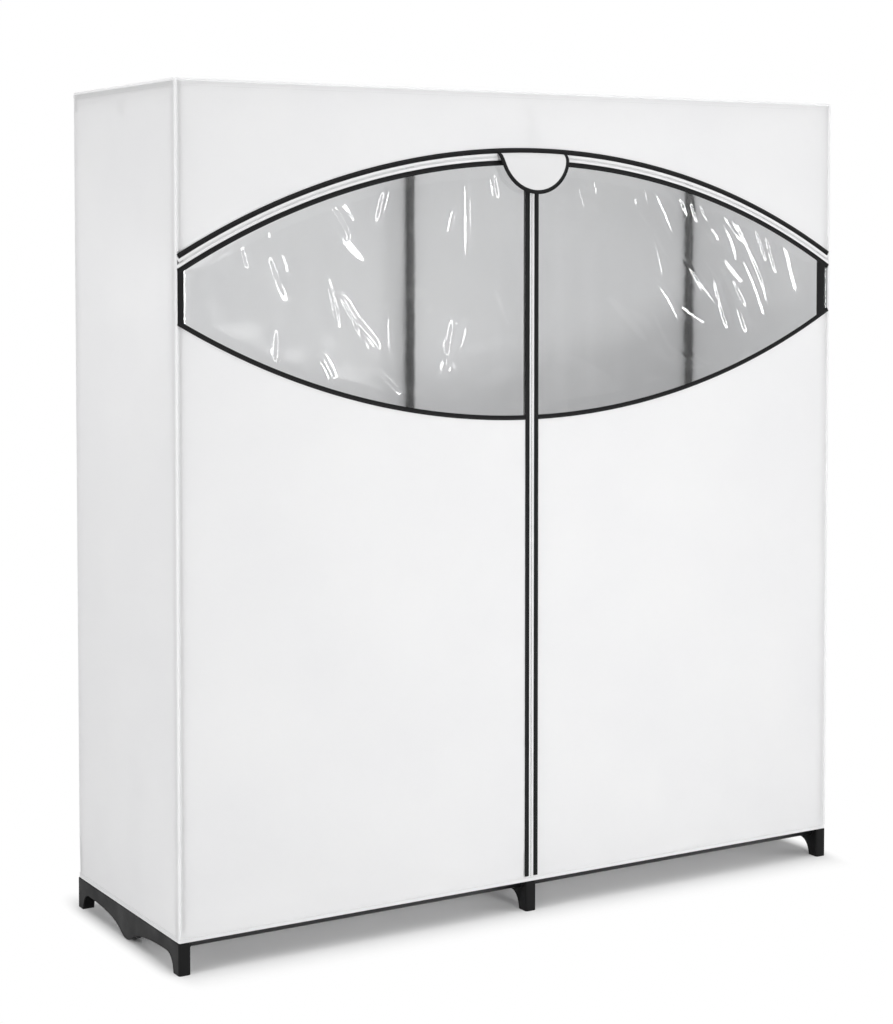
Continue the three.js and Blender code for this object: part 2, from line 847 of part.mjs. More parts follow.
// Tab: a half disc of cloth with a bound rim, hung from the arch and standing proud over the sliders
const tabTop = archEdge(archUpperInner - seam);
const tabCentre = tabTop(0);
const tabInnerRadius = tabRadius - tabBindingWidth;

function tabOffset(x, z) {
  const drop = tabTop(x) - z;
  return tabBulge * (1 - Math.exp(-drop / tabBulgeRun)) + tabLean * drop;
}

const tabFace = frontFace - tabLift;

function tabPanel() {
  const radius = tabInnerRadius - seam;
  const edgeShare = 0.998;
  return sheet(tabColumns, tabRows, (column, row) => {
    const angle = quarterCircle * ((2 * column) / tabColumns - 1);
    const x = radius * edgeShare * Math.sin(angle);
    const low = tabCentre - Math.sqrt(radius * radius - x * x);
    const z = low + (tabTop(x) - low) * (1 - (1 - row / tabRows) ** 2);
    const y = tabFace - tabOffset(x, z);
    return [
      [x, y, z],
      [x, y + clothThick, z],
    ];
  });
}

function tabRim() {
  const proud = (tabBindingThick - clothThick) / 2;
  return sheet(tabRimSteps, 1, (column, row) => {
    const angle = halfCircle * (1 + column / tabRimSteps);
    const radius = row ? tabInnerRadius : tabRadius;
    const x = radius * Math.cos(angle);
    const z = Math.min(tabCentre + radius * Math.sin(angle), tabTop(x));
    const y = tabFace - proud - tabOffset(x, z);
    return [
      [x, y, z],
      [x, y + tabBindingThick, z],
    ];
  });
}

place("tab_panel", tabPanel(), cloth, tab);
place("tab_binding", tabRim(), binding, tab);

// Zip slider: a front plate and a back plate joined by a neck, with lugs and a bar for the pull
const barReach = seam + sliderThick + pullEyeRadius + seam;

function slider(alongX, alongZ, backPlate) {
  const neck = coilSlot / 2 - seam;
  const plateFront = -seam - sliderThick;
  const back = clothThick + seam;
  const lugInner = pullWidth / 2 + seam;
  const lugs = [-1, 1].map((side) => {
    const edges = [side * lugInner, side * (lugInner + lugThick)].sort((a, b) => a - b);
    return box(...edges, -barReach - barRadius, -seam - sliderThick / 2, -barRadius, barRadius);
  });
  return shapeOf(
    join([
      box(-alongX / 2, alongX / 2, plateFront, -seam, -alongZ / 2, alongZ / 2),
      backPlate(neck, back, back + sliderBackThick),
      ...lugs,
      rodAlongX(barRadius, -lugInner - lugThick / 2, lugInner + lugThick / 2, -barReach, 0, pipingSides),
    ]),
  );
}

const halfNeck = sliderNeckLength / 2;

function centreSlider() {
  const backPlate = (neck, near, far) =>
    shapeOf(
      join([
        box(-neck, neck, -seam - sliderThick / 2, far, -halfNeck, halfNeck),
        box(-sliderWidth / 2, neck, near, far, -sliderLength / 2, sliderLength / 2),
      ]),
    );
  return slider(sliderWidth, sliderLength, backPlate);
}

function archSlider() {
  const backPlate = (neck, near, far) =>
    shapeOf(
      join([
        box(-halfNeck, halfNeck, -seam - sliderThick / 2, far, -neck, neck),
        box(-sliderLength / 2, sliderLength / 2, near, far, -sliderWidth / 2, neck),
      ]),
    );
  return slider(sliderLength, sliderWidth, backPlate);
}

function pull() {
  const half = pullThick / 2;
  const opening = Math.asin(half / pullEyeRadius);
  const shape = new THREE.Shape();
  shape.moveTo(-half, -pullLength);
  shape.lineTo(half, -pullLength);
  shape.absarc(0, 0, pullEyeRadius, opening - quarterCircle, 3 * quarterCircle - opening);
  shape.holes.push(new THREE.Path().absarc(0, 0, barRadius + seam, 0, 2 * halfCircle));
  return sidePlate(shape, pullWidth, pipingSides / 2).translate(0, -barReach, 0);
}

const centreSliderHeight = archCrown - centreSliderDrop;
place("centre_slider", centreSlider(), zipMetal, leftDoor, 0, clothFront, centreSliderHeight);
place("centre_pull", pull(), zipMetal, leftDoor, 0, clothFront, centreSliderHeight);

// The arch sliders stand on the zip's own circle, turned to lie along it.
const archSliderTurn = Math.asin(archSliderOffset / archCoil);
for (const [name, side, parent] of [["left", -1, leftDoor], ["right", 1, rightDoor]]) {
  const turn = new THREE.Group();
  turn.position.set(0, clothFront, archCentre);
  turn.rotation.y = side * archSliderTurn;
  parent.add(turn);
  place(name + "_arch_slider", archSlider(), zipMetal, turn, 0, 0, archCoil);
  place(name + "_arch_pull", pull(), zipMetal, turn, 0, 0, archCoil);
}

export default wardrobe;
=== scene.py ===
import math

import bmesh
import bpy
import numpy as np
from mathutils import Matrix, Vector


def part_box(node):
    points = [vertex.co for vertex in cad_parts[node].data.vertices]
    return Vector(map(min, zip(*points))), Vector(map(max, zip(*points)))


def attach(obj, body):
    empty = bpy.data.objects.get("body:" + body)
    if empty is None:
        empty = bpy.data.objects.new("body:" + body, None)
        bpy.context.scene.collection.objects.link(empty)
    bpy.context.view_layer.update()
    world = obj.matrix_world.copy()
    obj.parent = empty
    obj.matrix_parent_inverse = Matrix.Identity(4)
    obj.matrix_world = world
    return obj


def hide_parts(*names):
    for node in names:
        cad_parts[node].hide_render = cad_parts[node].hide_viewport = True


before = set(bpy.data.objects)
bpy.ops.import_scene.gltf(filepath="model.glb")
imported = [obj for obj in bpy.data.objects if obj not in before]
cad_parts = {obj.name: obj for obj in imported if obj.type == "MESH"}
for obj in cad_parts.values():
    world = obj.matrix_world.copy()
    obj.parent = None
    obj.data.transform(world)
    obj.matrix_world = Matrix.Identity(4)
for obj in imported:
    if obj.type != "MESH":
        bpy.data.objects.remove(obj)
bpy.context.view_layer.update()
scene = bpy.context.scene
print("frame loaded:", len(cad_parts), "solids")

# Camera, at the photograph's angle. Its place is in millimetres, as nearly all lengths below.
cameraSet = {
    "place": (-2358.2, -3853.9, 1338.9),
    "yaw": 30.987,
    "tilt": 2.605,
    "focalPixels": 2188.8,
    "centre": (448.4, 337.92),
    "picture": (893, 1024),
    "sensor": 36,
}


def makeCamera(setting):
    across, high = setting["picture"]
    data = bpy.data.cameras.new("camera")
    data.sensor_width = setting["sensor"]
    data.lens = setting["focalPixels"] * setting["sensor"] / high
    data.shift_x = (across / 2 - setting["centre"][0]) / high
    data.shift_y = (setting["centre"][1] - high / 2) / high
    camera = bpy.data.objects.new("camera", data)
    camera.location = Vector(setting["place"]) / 1000
    turn = (90 - setting["tilt"], 0, -setting["yaw"])
    camera.rotation_euler = [math.radians(angle) for angle in turn]
    scene.collection.objects.link(camera)
    scene.camera = camera


makeCamera(cameraSet)
print("camera placed")

# Mesh tools. A shell is (points, quads, caps, lay): lay is where each point lies on the flat cloth, in
# millimetres, and becomes the UV map "lay" in metres.


def gridQuads(rows, columns, wrap=False):
    # Cell corners of a grid, its points numbered row by row; with wrap the last column meets the first.
    across = columns if wrap else columns + 1
    row, column = np.mgrid[0:rows, 0:columns]
    nextColumn = (column + 1) % across
    corners = [row * across + column, row * across + nextColumn]
    corners += [corners[1] + across, corners[0] + across]
    return np.stack(corners, -1).reshape(-1, 4)


def unit(vectors):
    return vectors / np.linalg.norm(vectors, axis=-1, keepdims=True)


def runAlong(points):
    # The distance of each point from the first one, along the line through them.
    return np.concatenate([[0], np.cumsum(np.linalg.norm(np.diff(points, axis=0), axis=1))])


def outwardShell(points, quads, caps, lay):
    # Turns every face over if the signed volume, the sum of a . (b x c) / 6, comes out negative.
    triples = [quads[:, [0, 1, 2]], quads[:, [0, 2, 3]]]
    for cap in caps:
        triples.append(np.stack([np.full(len(cap) - 2, cap[0]), cap[1:-1], cap[2:]], -1))
    a, b, c = (points[np.concatenate(triples)[:, k]] for k in range(3))
    if np.einsum("ij,ij->i", a, np.cross(b, c)).sum() < 0:
        quads = quads[:, ::-1]
        caps = [cap[::-1] for cap in caps]
    return points, quads, caps, lay


def closedSheet(outer, thick, lay=None):
    # The inner face is the outer one moved back by thick along the normal, the cross product of the
    # grid's two tangents; a strip of quads round the border closes the sheet.
    rows, columns = outer.shape[0] - 1, outer.shape[1] - 1
    normal = unit(np.cross(np.gradient(outer, axis=1), np.gradient(outer, axis=0)))
    inner = outer - normal * thick
    count = (rows + 1) * (columns + 1)
    index = np.arange(count).reshape(rows + 1, columns + 1)
    ring = np.concatenate([index[0, :-1], index[:-1, -1], index[-1, :0:-1], index[:0:-1, 0]])
    after = np.roll(ring, -1)
    front = gridQuads(rows, columns)
    rim = np.stack([ring, ring + count, after + count, after], -1)
    quads = np.concatenate([front, front[:, ::-1] + count, rim])
    points = np.concatenate([outer.reshape(-1, 3), inner.reshape(-1, 3)])
    if lay is None:
        lay = outer[..., [0, 2]]
    return outwardShell(points, quads, [], np.tile(lay.reshape(-1, 2), (2, 1)))


def sweep(path, across, out, profile, closed=False):
    # Carries a closed profile along a path: point = path + across * profile[0] + out * profile[1].
    points = path[:, None] + across[:, None] * profile[..., 0:1] + out[:, None] * profile[..., 1:2]
    steps, sides = points.shape[:2]
    quads = gridQuads(steps - 1, sides, wrap=True)
    caps = [np.arange(sides)[::-1], (steps - 1) * sides + np.arange(sides)]
    if closed:
        last = (steps - 1) * sides + np.arange(sides)
        link = np.stack([last, np.roll(last, -1), np.roll(np.arange(sides), -1), np.arange(sides)], -1)
        quads, caps = np.concatenate([quads, link]), []
    girth = runAlong(profile if profile.ndim == 2 else profile[0])
    lay = np.stack(np.broadcast_arrays(runAlong(path)[:, None], girth[None]), -1)
    return outwardShell(points.reshape(-1, 3), quads, caps, lay.reshape(-1, 2))


def bead(long, wide, high, sides):
    # A small closed form: four ellipses along its length, the two at the ends smaller, and a flat cap of
    # quads at each end. sides is an even number.
    angle = 2 * np.pi * np.arange(sides) / sides
    station = np.array([-0.5, -0.36, 0.36, 0.5])[:, None] * long
    scale = np.array([0.45, 1, 1, 0.45])[:, None]
    rings = [station + 0 * angle, scale * np.cos(angle) * wide / 2, scale * np.sin(angle) * high / 2]
    fan = np.arange(1, sides - 2, 2)
    cap = np.stack([0 * fan, fan, fan + 1, fan + 2], -1)
    quads = np.concatenate([gridQuads(3, sides, wrap=True), cap[:, ::-1], cap + 3 * sides])
    return np.stack(rings, -1).reshape(-1, 3), quads


def rowAlong(path, out, pitch, form, turn=0, start=0.5):
    # Copies of a bead at even distances along a line, point = place + along * a + across * b + out * c,
    # turned in the surface by an angle in degrees. out is the surface's normal at each point of the line.
    points, quads = form
    run = runAlong(path)
    at = np.arange(pitch * start, run[-1], pitch)

    def sample(values, where):
        return np.stack([np.interp(where, run, values[:, k]) for k in range(3)], -1)

    normal = unit(sample(out, at))
    tangent = sample(path, at + 0.5) - sample(path, at - 0.5)
    tangent = unit(tangent - normal * (tangent * normal).sum(-1, keepdims=True))
    side = np.cross(normal, tangent)
    cosine, sine = math.cos(math.radians(turn)), math.sin(math.radians(turn))
    axes = np.stack([tangent * cosine + side * sine, side * cosine - tangent * sine, normal], 1)
    placed = sample(path, at)[:, None] + np.einsum("kb,nbj->nkj", points, axes)
    faces = quads[None] + len(points) * np.arange(len(at))[:, None, None]
    lay = np.broadcast_to(points[None, :, :2], placed.shape[:2] + (2,))
    return outwardShell(placed.reshape(-1, 3), faces.reshape(-1, 4), [], lay.reshape(-1, 2))


def makePiece(name, shells, material, body, replaced=(), sharp=40):
    points, faces, lays, start = [], [], [], 0
    for shell in shells:
        points.append(shell[0])
        faces += (shell[1] + start).tolist() + [(cap + start).tolist() for cap in shell[2]]
        lays.append(shell[3])
        start += len(shell[0])
    mesh = bpy.data.meshes.new(name)
    mesh.from_pydata(np.concatenate(points) / 1000, [], faces)
    corners = np.empty(len(mesh.loops), np.int32)
    mesh.loops.foreach_get("vertex_index", corners)
    lay = np.concatenate(lays)[corners] / 1000
    mesh.uv_layers.new(name="lay").data.foreach_set("uv", lay.ravel())
    mesh.polygons.foreach_set("use_smooth", np.ones(len(mesh.polygons), bool))
    mesh.set_sharp_from_angle(angle=math.radians(sharp))
    mesh.materials.append(material)
    piece = bpy.data.objects.new(name, mesh)
    scene.collection.objects.link(piece)
    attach(piece, body)
    if replaced:
        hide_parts(*replaced)
    return piece


def pieceName(node):
    first, *rest = node.split("_")
    return first + "".join(word.capitalize() for word in rest)


def standIn(node, shells, material, body, sharp=40):
    # A piece that takes the place of one node and its name, as leftWindow does that of left_window.
    return makePiece(pieceName(node), shells, material, body, [node], sharp)


# Materials. One function adds a node; a value that is a socket is linked, any other is set.


def addNode(tree, kind, settings=None, inputs=None):
    node = tree.nodes.new(kind)
    for key, value in (settings or {}).items():
        setattr(node, key, value)
    for key, value in (inputs or {}).items():
        if isinstance(value, bpy.types.NodeSocket):
            tree.links.new(value, node.inputs[key])
        else:
            node.inputs[key].default_value = value
    return node


def linear(hexColour):
    # An sRGB hex colour as linear red, green, blue and alpha.
    parts = [int(hexColour[i:i + 2], 16) / 255 for i in (1, 3, 5)]
    return [p / 12.92 if p <= 0.04045 else ((p + 0.055) / 1.055) ** 2.4 for p in parts] + [1]


def newMaterial(name):
    material = bpy.data.materials.new(name)
    material.use_nodes = True
    tree = material.node_tree
    tree.nodes.clear()
    return material, tree


def waveScale(spacing):
    # A Wave texture's bands repeat every 2 pi / 20 of its scaled coordinate; spacing is in millimetres.
    return 2 * math.pi / 20 / (spacing / 1000)


def wovenMaterial(name, look):
    # A plain weave: two crossed sets of bands are the threads, a fine noise is the loose fibre and a
    # wide one the uneven thickness of the cloth, which shades it very slightly. A share of the light
    # passes through thin cloth, so it glows where the far side is lit.
    material, tree = newMaterial(name)
    lay = addNode(tree, "ShaderNodeUVMap", {"uv_map": "lay"}).outputs["UV"]
    threads = []
    for direction in ("X", "Y"):
        wave = addNode(
            tree,
            "ShaderNodeTexWave",
            {"wave_type": "BANDS", "bands_direction": direction},
            {"Vector": lay, "Scale": waveScale(look["thread"]), "Distortion": 0.6, "Detail": 1.0,
             "Detail Scale": 1.5},
        )
        threads.append(wave.outputs["Fac"])
    weave = addNode(tree, "ShaderNodeMath", {"operation": "MAXIMUM"}, {0: threads[0], 1: threads[1]})
    fibre = addNode(
        tree,
        "ShaderNodeTexNoise",
        None,
        {"Vector": lay, "Scale": 1000 / look["fibre"], "Detail": 3.0, "Roughness": 0.6},
    )
    cloudy = addNode(
        tree,
        "ShaderNodeTexNoise",
        None,
        {"Vector": lay, "Scale": 1000 / look["cloud"], "Detail": 4.0, "Roughness": 0.55},
    )
    blend = addNode(
        tree,
        "ShaderNodeMath",
        {"operation": "MULTIPLY_ADD"},
        {0: fibre.outputs["Fac"], 1: look["fibreShare"], 2: cloudy.outputs["Fac"]},
    )
    share = addNode(
        tree,
        "ShaderNodeMapRange",
        None,
        {"Value": blend.outputs["Value"], "From Min": 0.35, "From Max": 0.65 + look["fibreShare"]},
    )
    colour = addNode(
        tree,
        "ShaderNodeMix",
        {"data_type": "RGBA"},
        {0: share.outputs["Result"], 6: linear(look["dark"]), 7: linear(look["pale"])},
    )
    height = addNode(
        tree,
        "ShaderNodeMath",
        {"operation": "MULTIPLY_ADD"},
        {0: weave.outputs["Value"], 1: 0.7, 2: fibre.outputs["Fac"]},
    )
    bump = addNode(
        tree,
        "ShaderNodeBump",
        None,
        {"Strength": look["bump"], "Distance": look["thread"] / 4000, "Height": height.outputs["Value"]},
    )
    rough = addNode(
        tree,
        "ShaderNodeMapRange",
        None,
        {"Value": fibre.outputs["Fac"], "To Min": look["rough"][0], "To Max": look["rough"][1]},
    )
    shader = addNode(
        tree,
        "ShaderNodeBsdfPrincipled",
        None,
        {"Base Color": colour.outputs[2], "Roughness": rough.outputs["Result"],
         "Normal": bump.outputs["Normal"], "Sheen Weight": look["sheen"], "Sheen Roughness": 0.5,
         "Specular IOR Level": look["specular"]},
    )
    surface = shader.outputs["BSDF"]
    if look["passes"]:
        through = addNode(
            tree,
            "ShaderNodeBsdfTranslucent",
            None,
            {"Color": colour.outputs[2], "Normal": bump.outputs["Normal"]},
        )
        mixed = addNode(
            tree,
            "ShaderNodeMixShader",
            None,
            {0: look["passes"], 1: surface, 2: through.outputs["BSDF"]},
        )
        surface = mixed.outputs["Shader"]
    addNode(tree, "ShaderNodeOutputMaterial", None, {"Surface": surface})
    return material


# Spunbond polypropylene, calendered flat: matt white with a faint cloudiness, and thin enough to let
# about a third of the light through. Its real emboss repeats about every 0.8 mm, drawn here at 1.4 mm
# so that a close view shows it.
spunbond = {
    "thread": 1.4, "fibre": 3.0, "cloud": 260, "fibreShare": 0.5, "dark": "#efeff0", "pale": "#f4f4f4",
    "bump": 0.25, "rough": (0.78, 0.92), "sheen": 0.08, "specular": 0.3, "passes": 0.38,
}
whiteCloth = wovenMaterial("spunbondCloth", spunbond)
# The tab is the same cloth laid double over a stiffener, which lets little light through; its colour is
# darker than the cloth's, painted shade.
tabClothPaintedShade = wovenMaterial(
    "doubledSpunbond", {**spunbond, "dark": "#cdcdce", "pale": "#d4d4d4", "passes": 0}
)
# Polyester sewing thread, white: a twisted yarn, coloured a little greyer than the cloth as painted shade
# along the stitch lines.
whiteThreadPaintedShade = wovenMaterial(
    "whitePolyesterThread",
    {"thread": 0.4, "fibre": 1.0, "cloud": 20, "fibreShare": 0.4, "dark": "#d9d9da", "pale": "#e6e6e6",
     "bump": 0.4, "rough": (0.5, 0.65), "sheen": 0.1, "specular": 0.4, "passes": 0},
)
# The same thread in black.
blackThread = wovenMaterial(
    "blackPolyesterThread",
    {"thread": 0.4, "fibre": 1.0, "cloud": 20, "fibreShare": 0.4, "dark": "#1a1a1b", "pale": "#2a2a2b",
     "bump": 0.4, "rough": (0.4, 0.55), "sheen": 0.05, "specular": 0.4, "passes": 0},
)
# Woven polyester zip tape: white, close ribs.
zipTape = wovenMaterial(
    "polyesterZipTape",
    {"thread": 0.9, "fibre": 2.0, "cloud": 30, "fibreShare": 0.4, "dark": "#dcdcdd", "pale": "#e7e7e8",
     "bump": 0.5, "rough": (0.6, 0.8), "sheen": 0.1, "specular": 0.4, "passes": 0},
)
# Polyester bias binding: black, folded and pressed, with a low sheen over its ribs.
blackBinding = wovenMaterial(
    "polyesterBinding",
    {"thread": 0.9, "fibre": 2.2, "cloud": 25, "fibreShare": 0.5, "dark": "#0a0a0b", "pale": "#141415",
     "bump": 0.6, "rough": (0.6, 0.8), "sheen": 0.01, "specular": 0.18, "passes": 0},
)


def solidMaterial(name, look):
    # A moulded or coated surface: a fine noise is its grain, a wide one its uneven gloss.
    material, tree = newMaterial(name)
    place = addNode(tree, "ShaderNodeTexCoord").outputs["Object"]
    grain = addNode(
        tree, "ShaderNodeTexNoise", None, {"Vector": place, "Scale": 1000 / look["grain"], "Detail": 3.0}
    )
    patches = addNode(
        tree, "ShaderNodeTexNoise", None, {"Vector": place, "Scale": 1000 / look["patch"], "Detail": 4.0}
    )
    colour = addNode(
        tree,
        "ShaderNodeMix",
        {"data_type": "RGBA"},
        {0: patches.outputs["Fac"], 6: linear(look["dark"]), 7: linear(look["pale"])},
    )
    rough = addNode(
        tree,
        "ShaderNodeMapRange",
        None,
        {"Value": patches.outputs["Fac"], "From Min": 0.3, "From Max": 0.7, "To Min": look["rough"][0],
         "To Max": look["rough"][1]},
    )
    bump = addNode(
        tree,
        "ShaderNodeBump",
        None,
        {"Strength": look["bump"], "Distance": look["grain"] / 4000, "Height": grain.outputs["Fac"]},
    )
    shader = addNode(
        tree,
        "ShaderNodeBsdfPrincipled",
        None,
        {"Base Color": colour.outputs[2], "Roughness": rough.outputs["Result"],
         "Normal": bump.outputs["Normal"], "Metallic": look["metallic"],
         "Specular IOR Level": look["specular"]},
    )
    addNode(tree, "ShaderNodeOutputMaterial", None, {"Surface": shader.outputs["BSDF"]})
    return material


# Injection-moulded polypropylene: black with a fine spark-eroded grain, a soft sheen along its edges.
blackResin = solidMaterial(
    "mouldedPolypropylene",
    {"grain": 1.2, "patch": 60, "dark": "#070708", "pale": "#0e0e0f", "rough": (0.42, 0.6), "bump": 0.35,
     "metallic": 0.0, "specular": 0.18},
)
# Powder-coated steel tube: black, slightly orange-peeled and glossier than the resin.
blackSteel = solidMaterial(
    "powderCoatedSteel",
    {"grain": 2.5, "patch": 80, "dark": "#0f0f10", "pale": "#171719", "rough": (0.28, 0.4), "bump": 0.15,
     "metallic": 0.0, "specular": 0.4},
)
# Die-cast zinc, nickel plated: pale and softly tumbled.
zipMetal = solidMaterial(
    "nickelPlatedZinc",
    {"grain": 0.8, "patch": 12, "dark": "#9c9c9f", "pale": "#b8b8ba", "rough": (0.28, 0.42), "bump": 0.1,
     "metallic": 0.9, "specular": 0.5},
)
# Nylon coil: white, smooth and faintly glossy.
nylonCoil = solidMaterial(
    "nylonCoil",
    {"grain": 0.8, "patch": 10, "dark": "#d2d2d3", "pale": "#e0e0e0", "rough": (0.35, 0.45), "bump": 0.05,
     "metallic": 0.0, "specular": 0.4},
)


# Plasticised PVC film, calendered: clear, glossy and very slightly milky, with a faint ripple, 22
# waves of it to the metre.
vinyl = {"ripple": 22, "bump": 0.12, "deep": 0.8, "tint": "#fafbfb", "rough": 0.06, "ior": 1.5,
         "shadow": "#fcfcfc"}


def vinylMaterial(name, look):
    # Rays from lamps pass straight through it, so that what is behind is lit.
    material, tree = newMaterial(name)
    lay = addNode(tree, "ShaderNodeUVMap", {"uv_map": "lay"}).outputs["UV"]
    ripple = addNode(
        tree, "ShaderNodeTexNoise", None, {"Vector": lay, "Scale": look["ripple"], "Detail": 2.0}
    )
    bump = addNode(
        tree,
        "ShaderNodeBump",
        None,
        {"Strength": look["bump"], "Distance": look["deep"] / 1000, "Height": ripple.outputs["Fac"]},
    )
    film = addNode(
        tree,
        "ShaderNodeBsdfPrincipled",
        None,
        {"Base Color": linear(look["tint"]), "Roughness": look["rough"], "IOR": look["ior"],
         "Transmission Weight": 1.0, "Normal": bump.outputs["Normal"]},
    )
    path = addNode(tree, "ShaderNodeLightPath")
    lampOrBounce = addNode(
        tree,
        "ShaderNodeMath",
        {"operation": "MAXIMUM"},
        {0: path.outputs["Is Shadow Ray"], 1: path.outputs["Is Diffuse Ray"]},
    )
    clear = addNode(tree, "ShaderNodeBsdfTransparent", None, {"Color": linear(look["shadow"])})
    mixed = addNode(
        tree,
        "ShaderNodeMixShader",
        None,
        {0: lampOrBounce.outputs["Value"], 1: film.outputs["BSDF"], 2: clear.outputs["BSDF"]},
    )
    addNode(tree, "ShaderNodeOutputMaterial", None, {"Surface": mixed.outputs["Shader"]})
    return material


clearVinyl = vinylMaterial("plasticisedPvcFilm", vinyl)
print("materials made")

# Sizes that several pieces share, as the frame has them. The front cloth, the sides and the top end
# inside the piping, at pipingX and pipingZ, and go pushedIn below the hem's top, so no seam is open.
size = {
    "halfWidth": 762,
    "halfDepth": 247.5,
    "frontFace": -247.5,  # front of the bindings
    "clothFront": -246.4,
    "clothThick": 1.2,
    "sideOuter": 760.9,
    "doorEdge": 756.7,
    "coverLow": 69.6,
    "topFace": 1624.9,
    "archCentre": 7,
    "archUpperSeam": 1503.75,
    "archCoil": 1492,
    "archLowerSeam": 1480.25,
    "windowCentre": 2512.5,
    "windowSeam": 1526,
    "centreSeam": 10.25,
    "uprightX": 749.9,
    "pipingX": 759.5,
    "pipingZ": 1623.5,
    "pipingY": -245.0,
    "pipingInset": 0.5,  # how far short of the piping's middle a sheet ends
    "seamGap": 0.15,  # from a seam's line to the edge of each sheet that it joins
    "pushedIn": 1.3,
}


def archEdge(radius, x):
    # The arch above the doors: height = centre + sqrt(radius^2 - x^2).
    return size["archCentre"] + np.sqrt(radius ** 2 - x ** 2)


def windowEdge(radius, x):
    # The lower edge of the windows: height = centre - sqrt(radius^2 - x^2).
    return size["windowCentre"] - np.sqrt(radius ** 2 - x ** 2)


def smoothStep(value):
    value = np.clip(value, 0, 1)
    return value * value * (3 - 2 * value)


def bell(distance, width):
    # 1 in the middle, falling off as exp(-(distance / width)^2).
    return np.exp(-((distance / width) ** 2))


def softWaves(a, b, wave, extra=0):
    # A sum of sine waves. Each has its own direction, length and phase from a seeded draw, and a
    # height in step with its length. extra gives a second sheet waves of its own.
    draw = np.random.default_rng(wave["seed"] + extra)
    angle = np.radians(draw.normal(wave["lean"], wave["spread"], wave["count"]))
    length = draw.uniform(wave["shortest"], wave["longest"], wave["count"])
    phase = draw.uniform(0, 2 * np.pi, wave["count"])
    along = a[..., None] * np.cos(angle) + b[..., None] * np.sin(angle)
    share = length / length.sum()
    return wave["height"] * (share * np.sin(2 * np.pi * along / length + phase)).sum(-1)


def pucker(along, away, gather, extra=0):
    # The gathers beside a seam: a wave along the seam, uneven in length, that dies away as
    # exp(-distance / reach).
    draw = np.random.default_rng(gather["seed"] + extra)
    uneven = 1.5 * np.sin(2 * np.pi * along / draw.uniform(90, 140) + draw.uniform(0, 6))
    wave = 0.5 + 0.5 * np.sin(2 * np.pi * along / gather["spacing"] + uneven)
    return gather["depth"] * wave * np.exp(-np.maximum(away, 0) / gather["reach"])


def foldDip(along, up, depth, count):
    # The frame's folds: depth * sin^2(pi along) * (1 - cos(2 pi count along)) / 2 * (1 - up)^2.
    wave = (1 - np.cos(2 * np.pi * count * along)) / 2
    return depth * np.sin(np.pi * along) ** 2 * wave * (1 - up) ** 2


seam = {
    "steps": [0, 1.2, 2.4, 3.8, 5.4, 7.4, 10, 13.5, 18, 24],  # where a sheet's grid is closer
    "free": 8,  # width beside the piping that the soft waves leave alone
    "reach": 6,
    "power": 1.6,
    "inward": 0.8,
    "inwardReach": 2.5,
    "hemReach": 14,
    "hemClose": 45,
    "hemTuck": 0.7,
    "hemTuckReach": 5,
    "hemFade": 16,
    "pullFade": 30,
}


def closeOnHem(dip, fromHem, pull):
    # Folds die out in the last few centimetres above the hem, where the cloth is drawn in by
    # pull * t * exp(1 - t), with t the height above the hem over hemReach, and goes in behind the
    # hem by a bell hemTuck deep.
    t = np.maximum(fromHem, 0) / seam["hemReach"]
    tucked = seam["hemTuck"] * bell(fromHem, seam["hemTuckReach"])
    return dip * smoothStep(fromHem / seam["hemClose"]) + pull * t * np.exp(1 - t) + tucked


def tuckIn(away, depth, fromHem=1000):
    # The cloth turns in beside the piping by depth * (t * exp(1 - t))^power, with t the distance over
    # reach, and comes back to the piping's middle, where a bell takes it inward.
    t = np.maximum(away, 0) / seam["reach"]
    dip = depth * (t * np.exp(1 - t)) ** seam["power"] * smoothStep((fromHem + 2) / seam["hemFade"])
    return dip + seam["inward"] * bell(away, seam["inwardReach"])


def gradedSteps(length, cell, nearStart, nearEnd):
    # Distances from 0 to length, about cell apart, and closer beside an edge that is sewn to piping.
    start = np.array(seam["steps"]) if nearStart else np.zeros(1)
    end = length - (np.array(seam["steps"])[::-1] if nearEnd else np.zeros(1))
    count = max(2, round((end[0] - start[-1]) / cell))
    return np.concatenate([start, np.linspace(start[-1], end[0], count + 1)[1:-1], end])


# Door cloths, windows and the valance
frontCloth = {
    "cell": 7,
    "foldDepth": 4,
    "folds": 5,
    "drift": {"seed": 11, "lean": 35, "spread": 35, "count": 16, "shortest": 90, "longest": 420,
              "height": 9.5},
    "driftFade": 60,
    "highShare": 0.35,  # how much of the drift is left at the window's edge
    "rightShare": 0.7,  # and how much the right door has
    "gather": {"seed": 21, "spacing": 26, "depth": 0.5, "reach": 14},
    "tuck": 2.7,
    "hemDip": 1.8,
}


def frontGrid(x, low, high, cell, nearStart, nearEnd):
    # A grid over x and the share up of the way between two edge curves: z = low + (high - low) * up.
    lowEdge, highEdge = low(x), high(x)
    tallest = float(np.max(highEdge - lowEdge))
    up = gradedSteps(tallest, cell, nearStart, nearEnd)[:, None] / tallest
    z = lowEdge + (highEdge - lowEdge) * up
    return np.broadcast_to(x, z.shape), z, np.broadcast_to(up, z.shape)


def acrossDoor(side, cell):
    # Places across a door, always rising, from its centre zip to the middle of the corner piping.
    near, far = size["centreSeam"] + size["seamGap"], size["pipingX"] - size["pipingInset"]
    across = near + gradedSteps(far - near, cell, False, True)
    return across if side > 0 else -across[::-1]


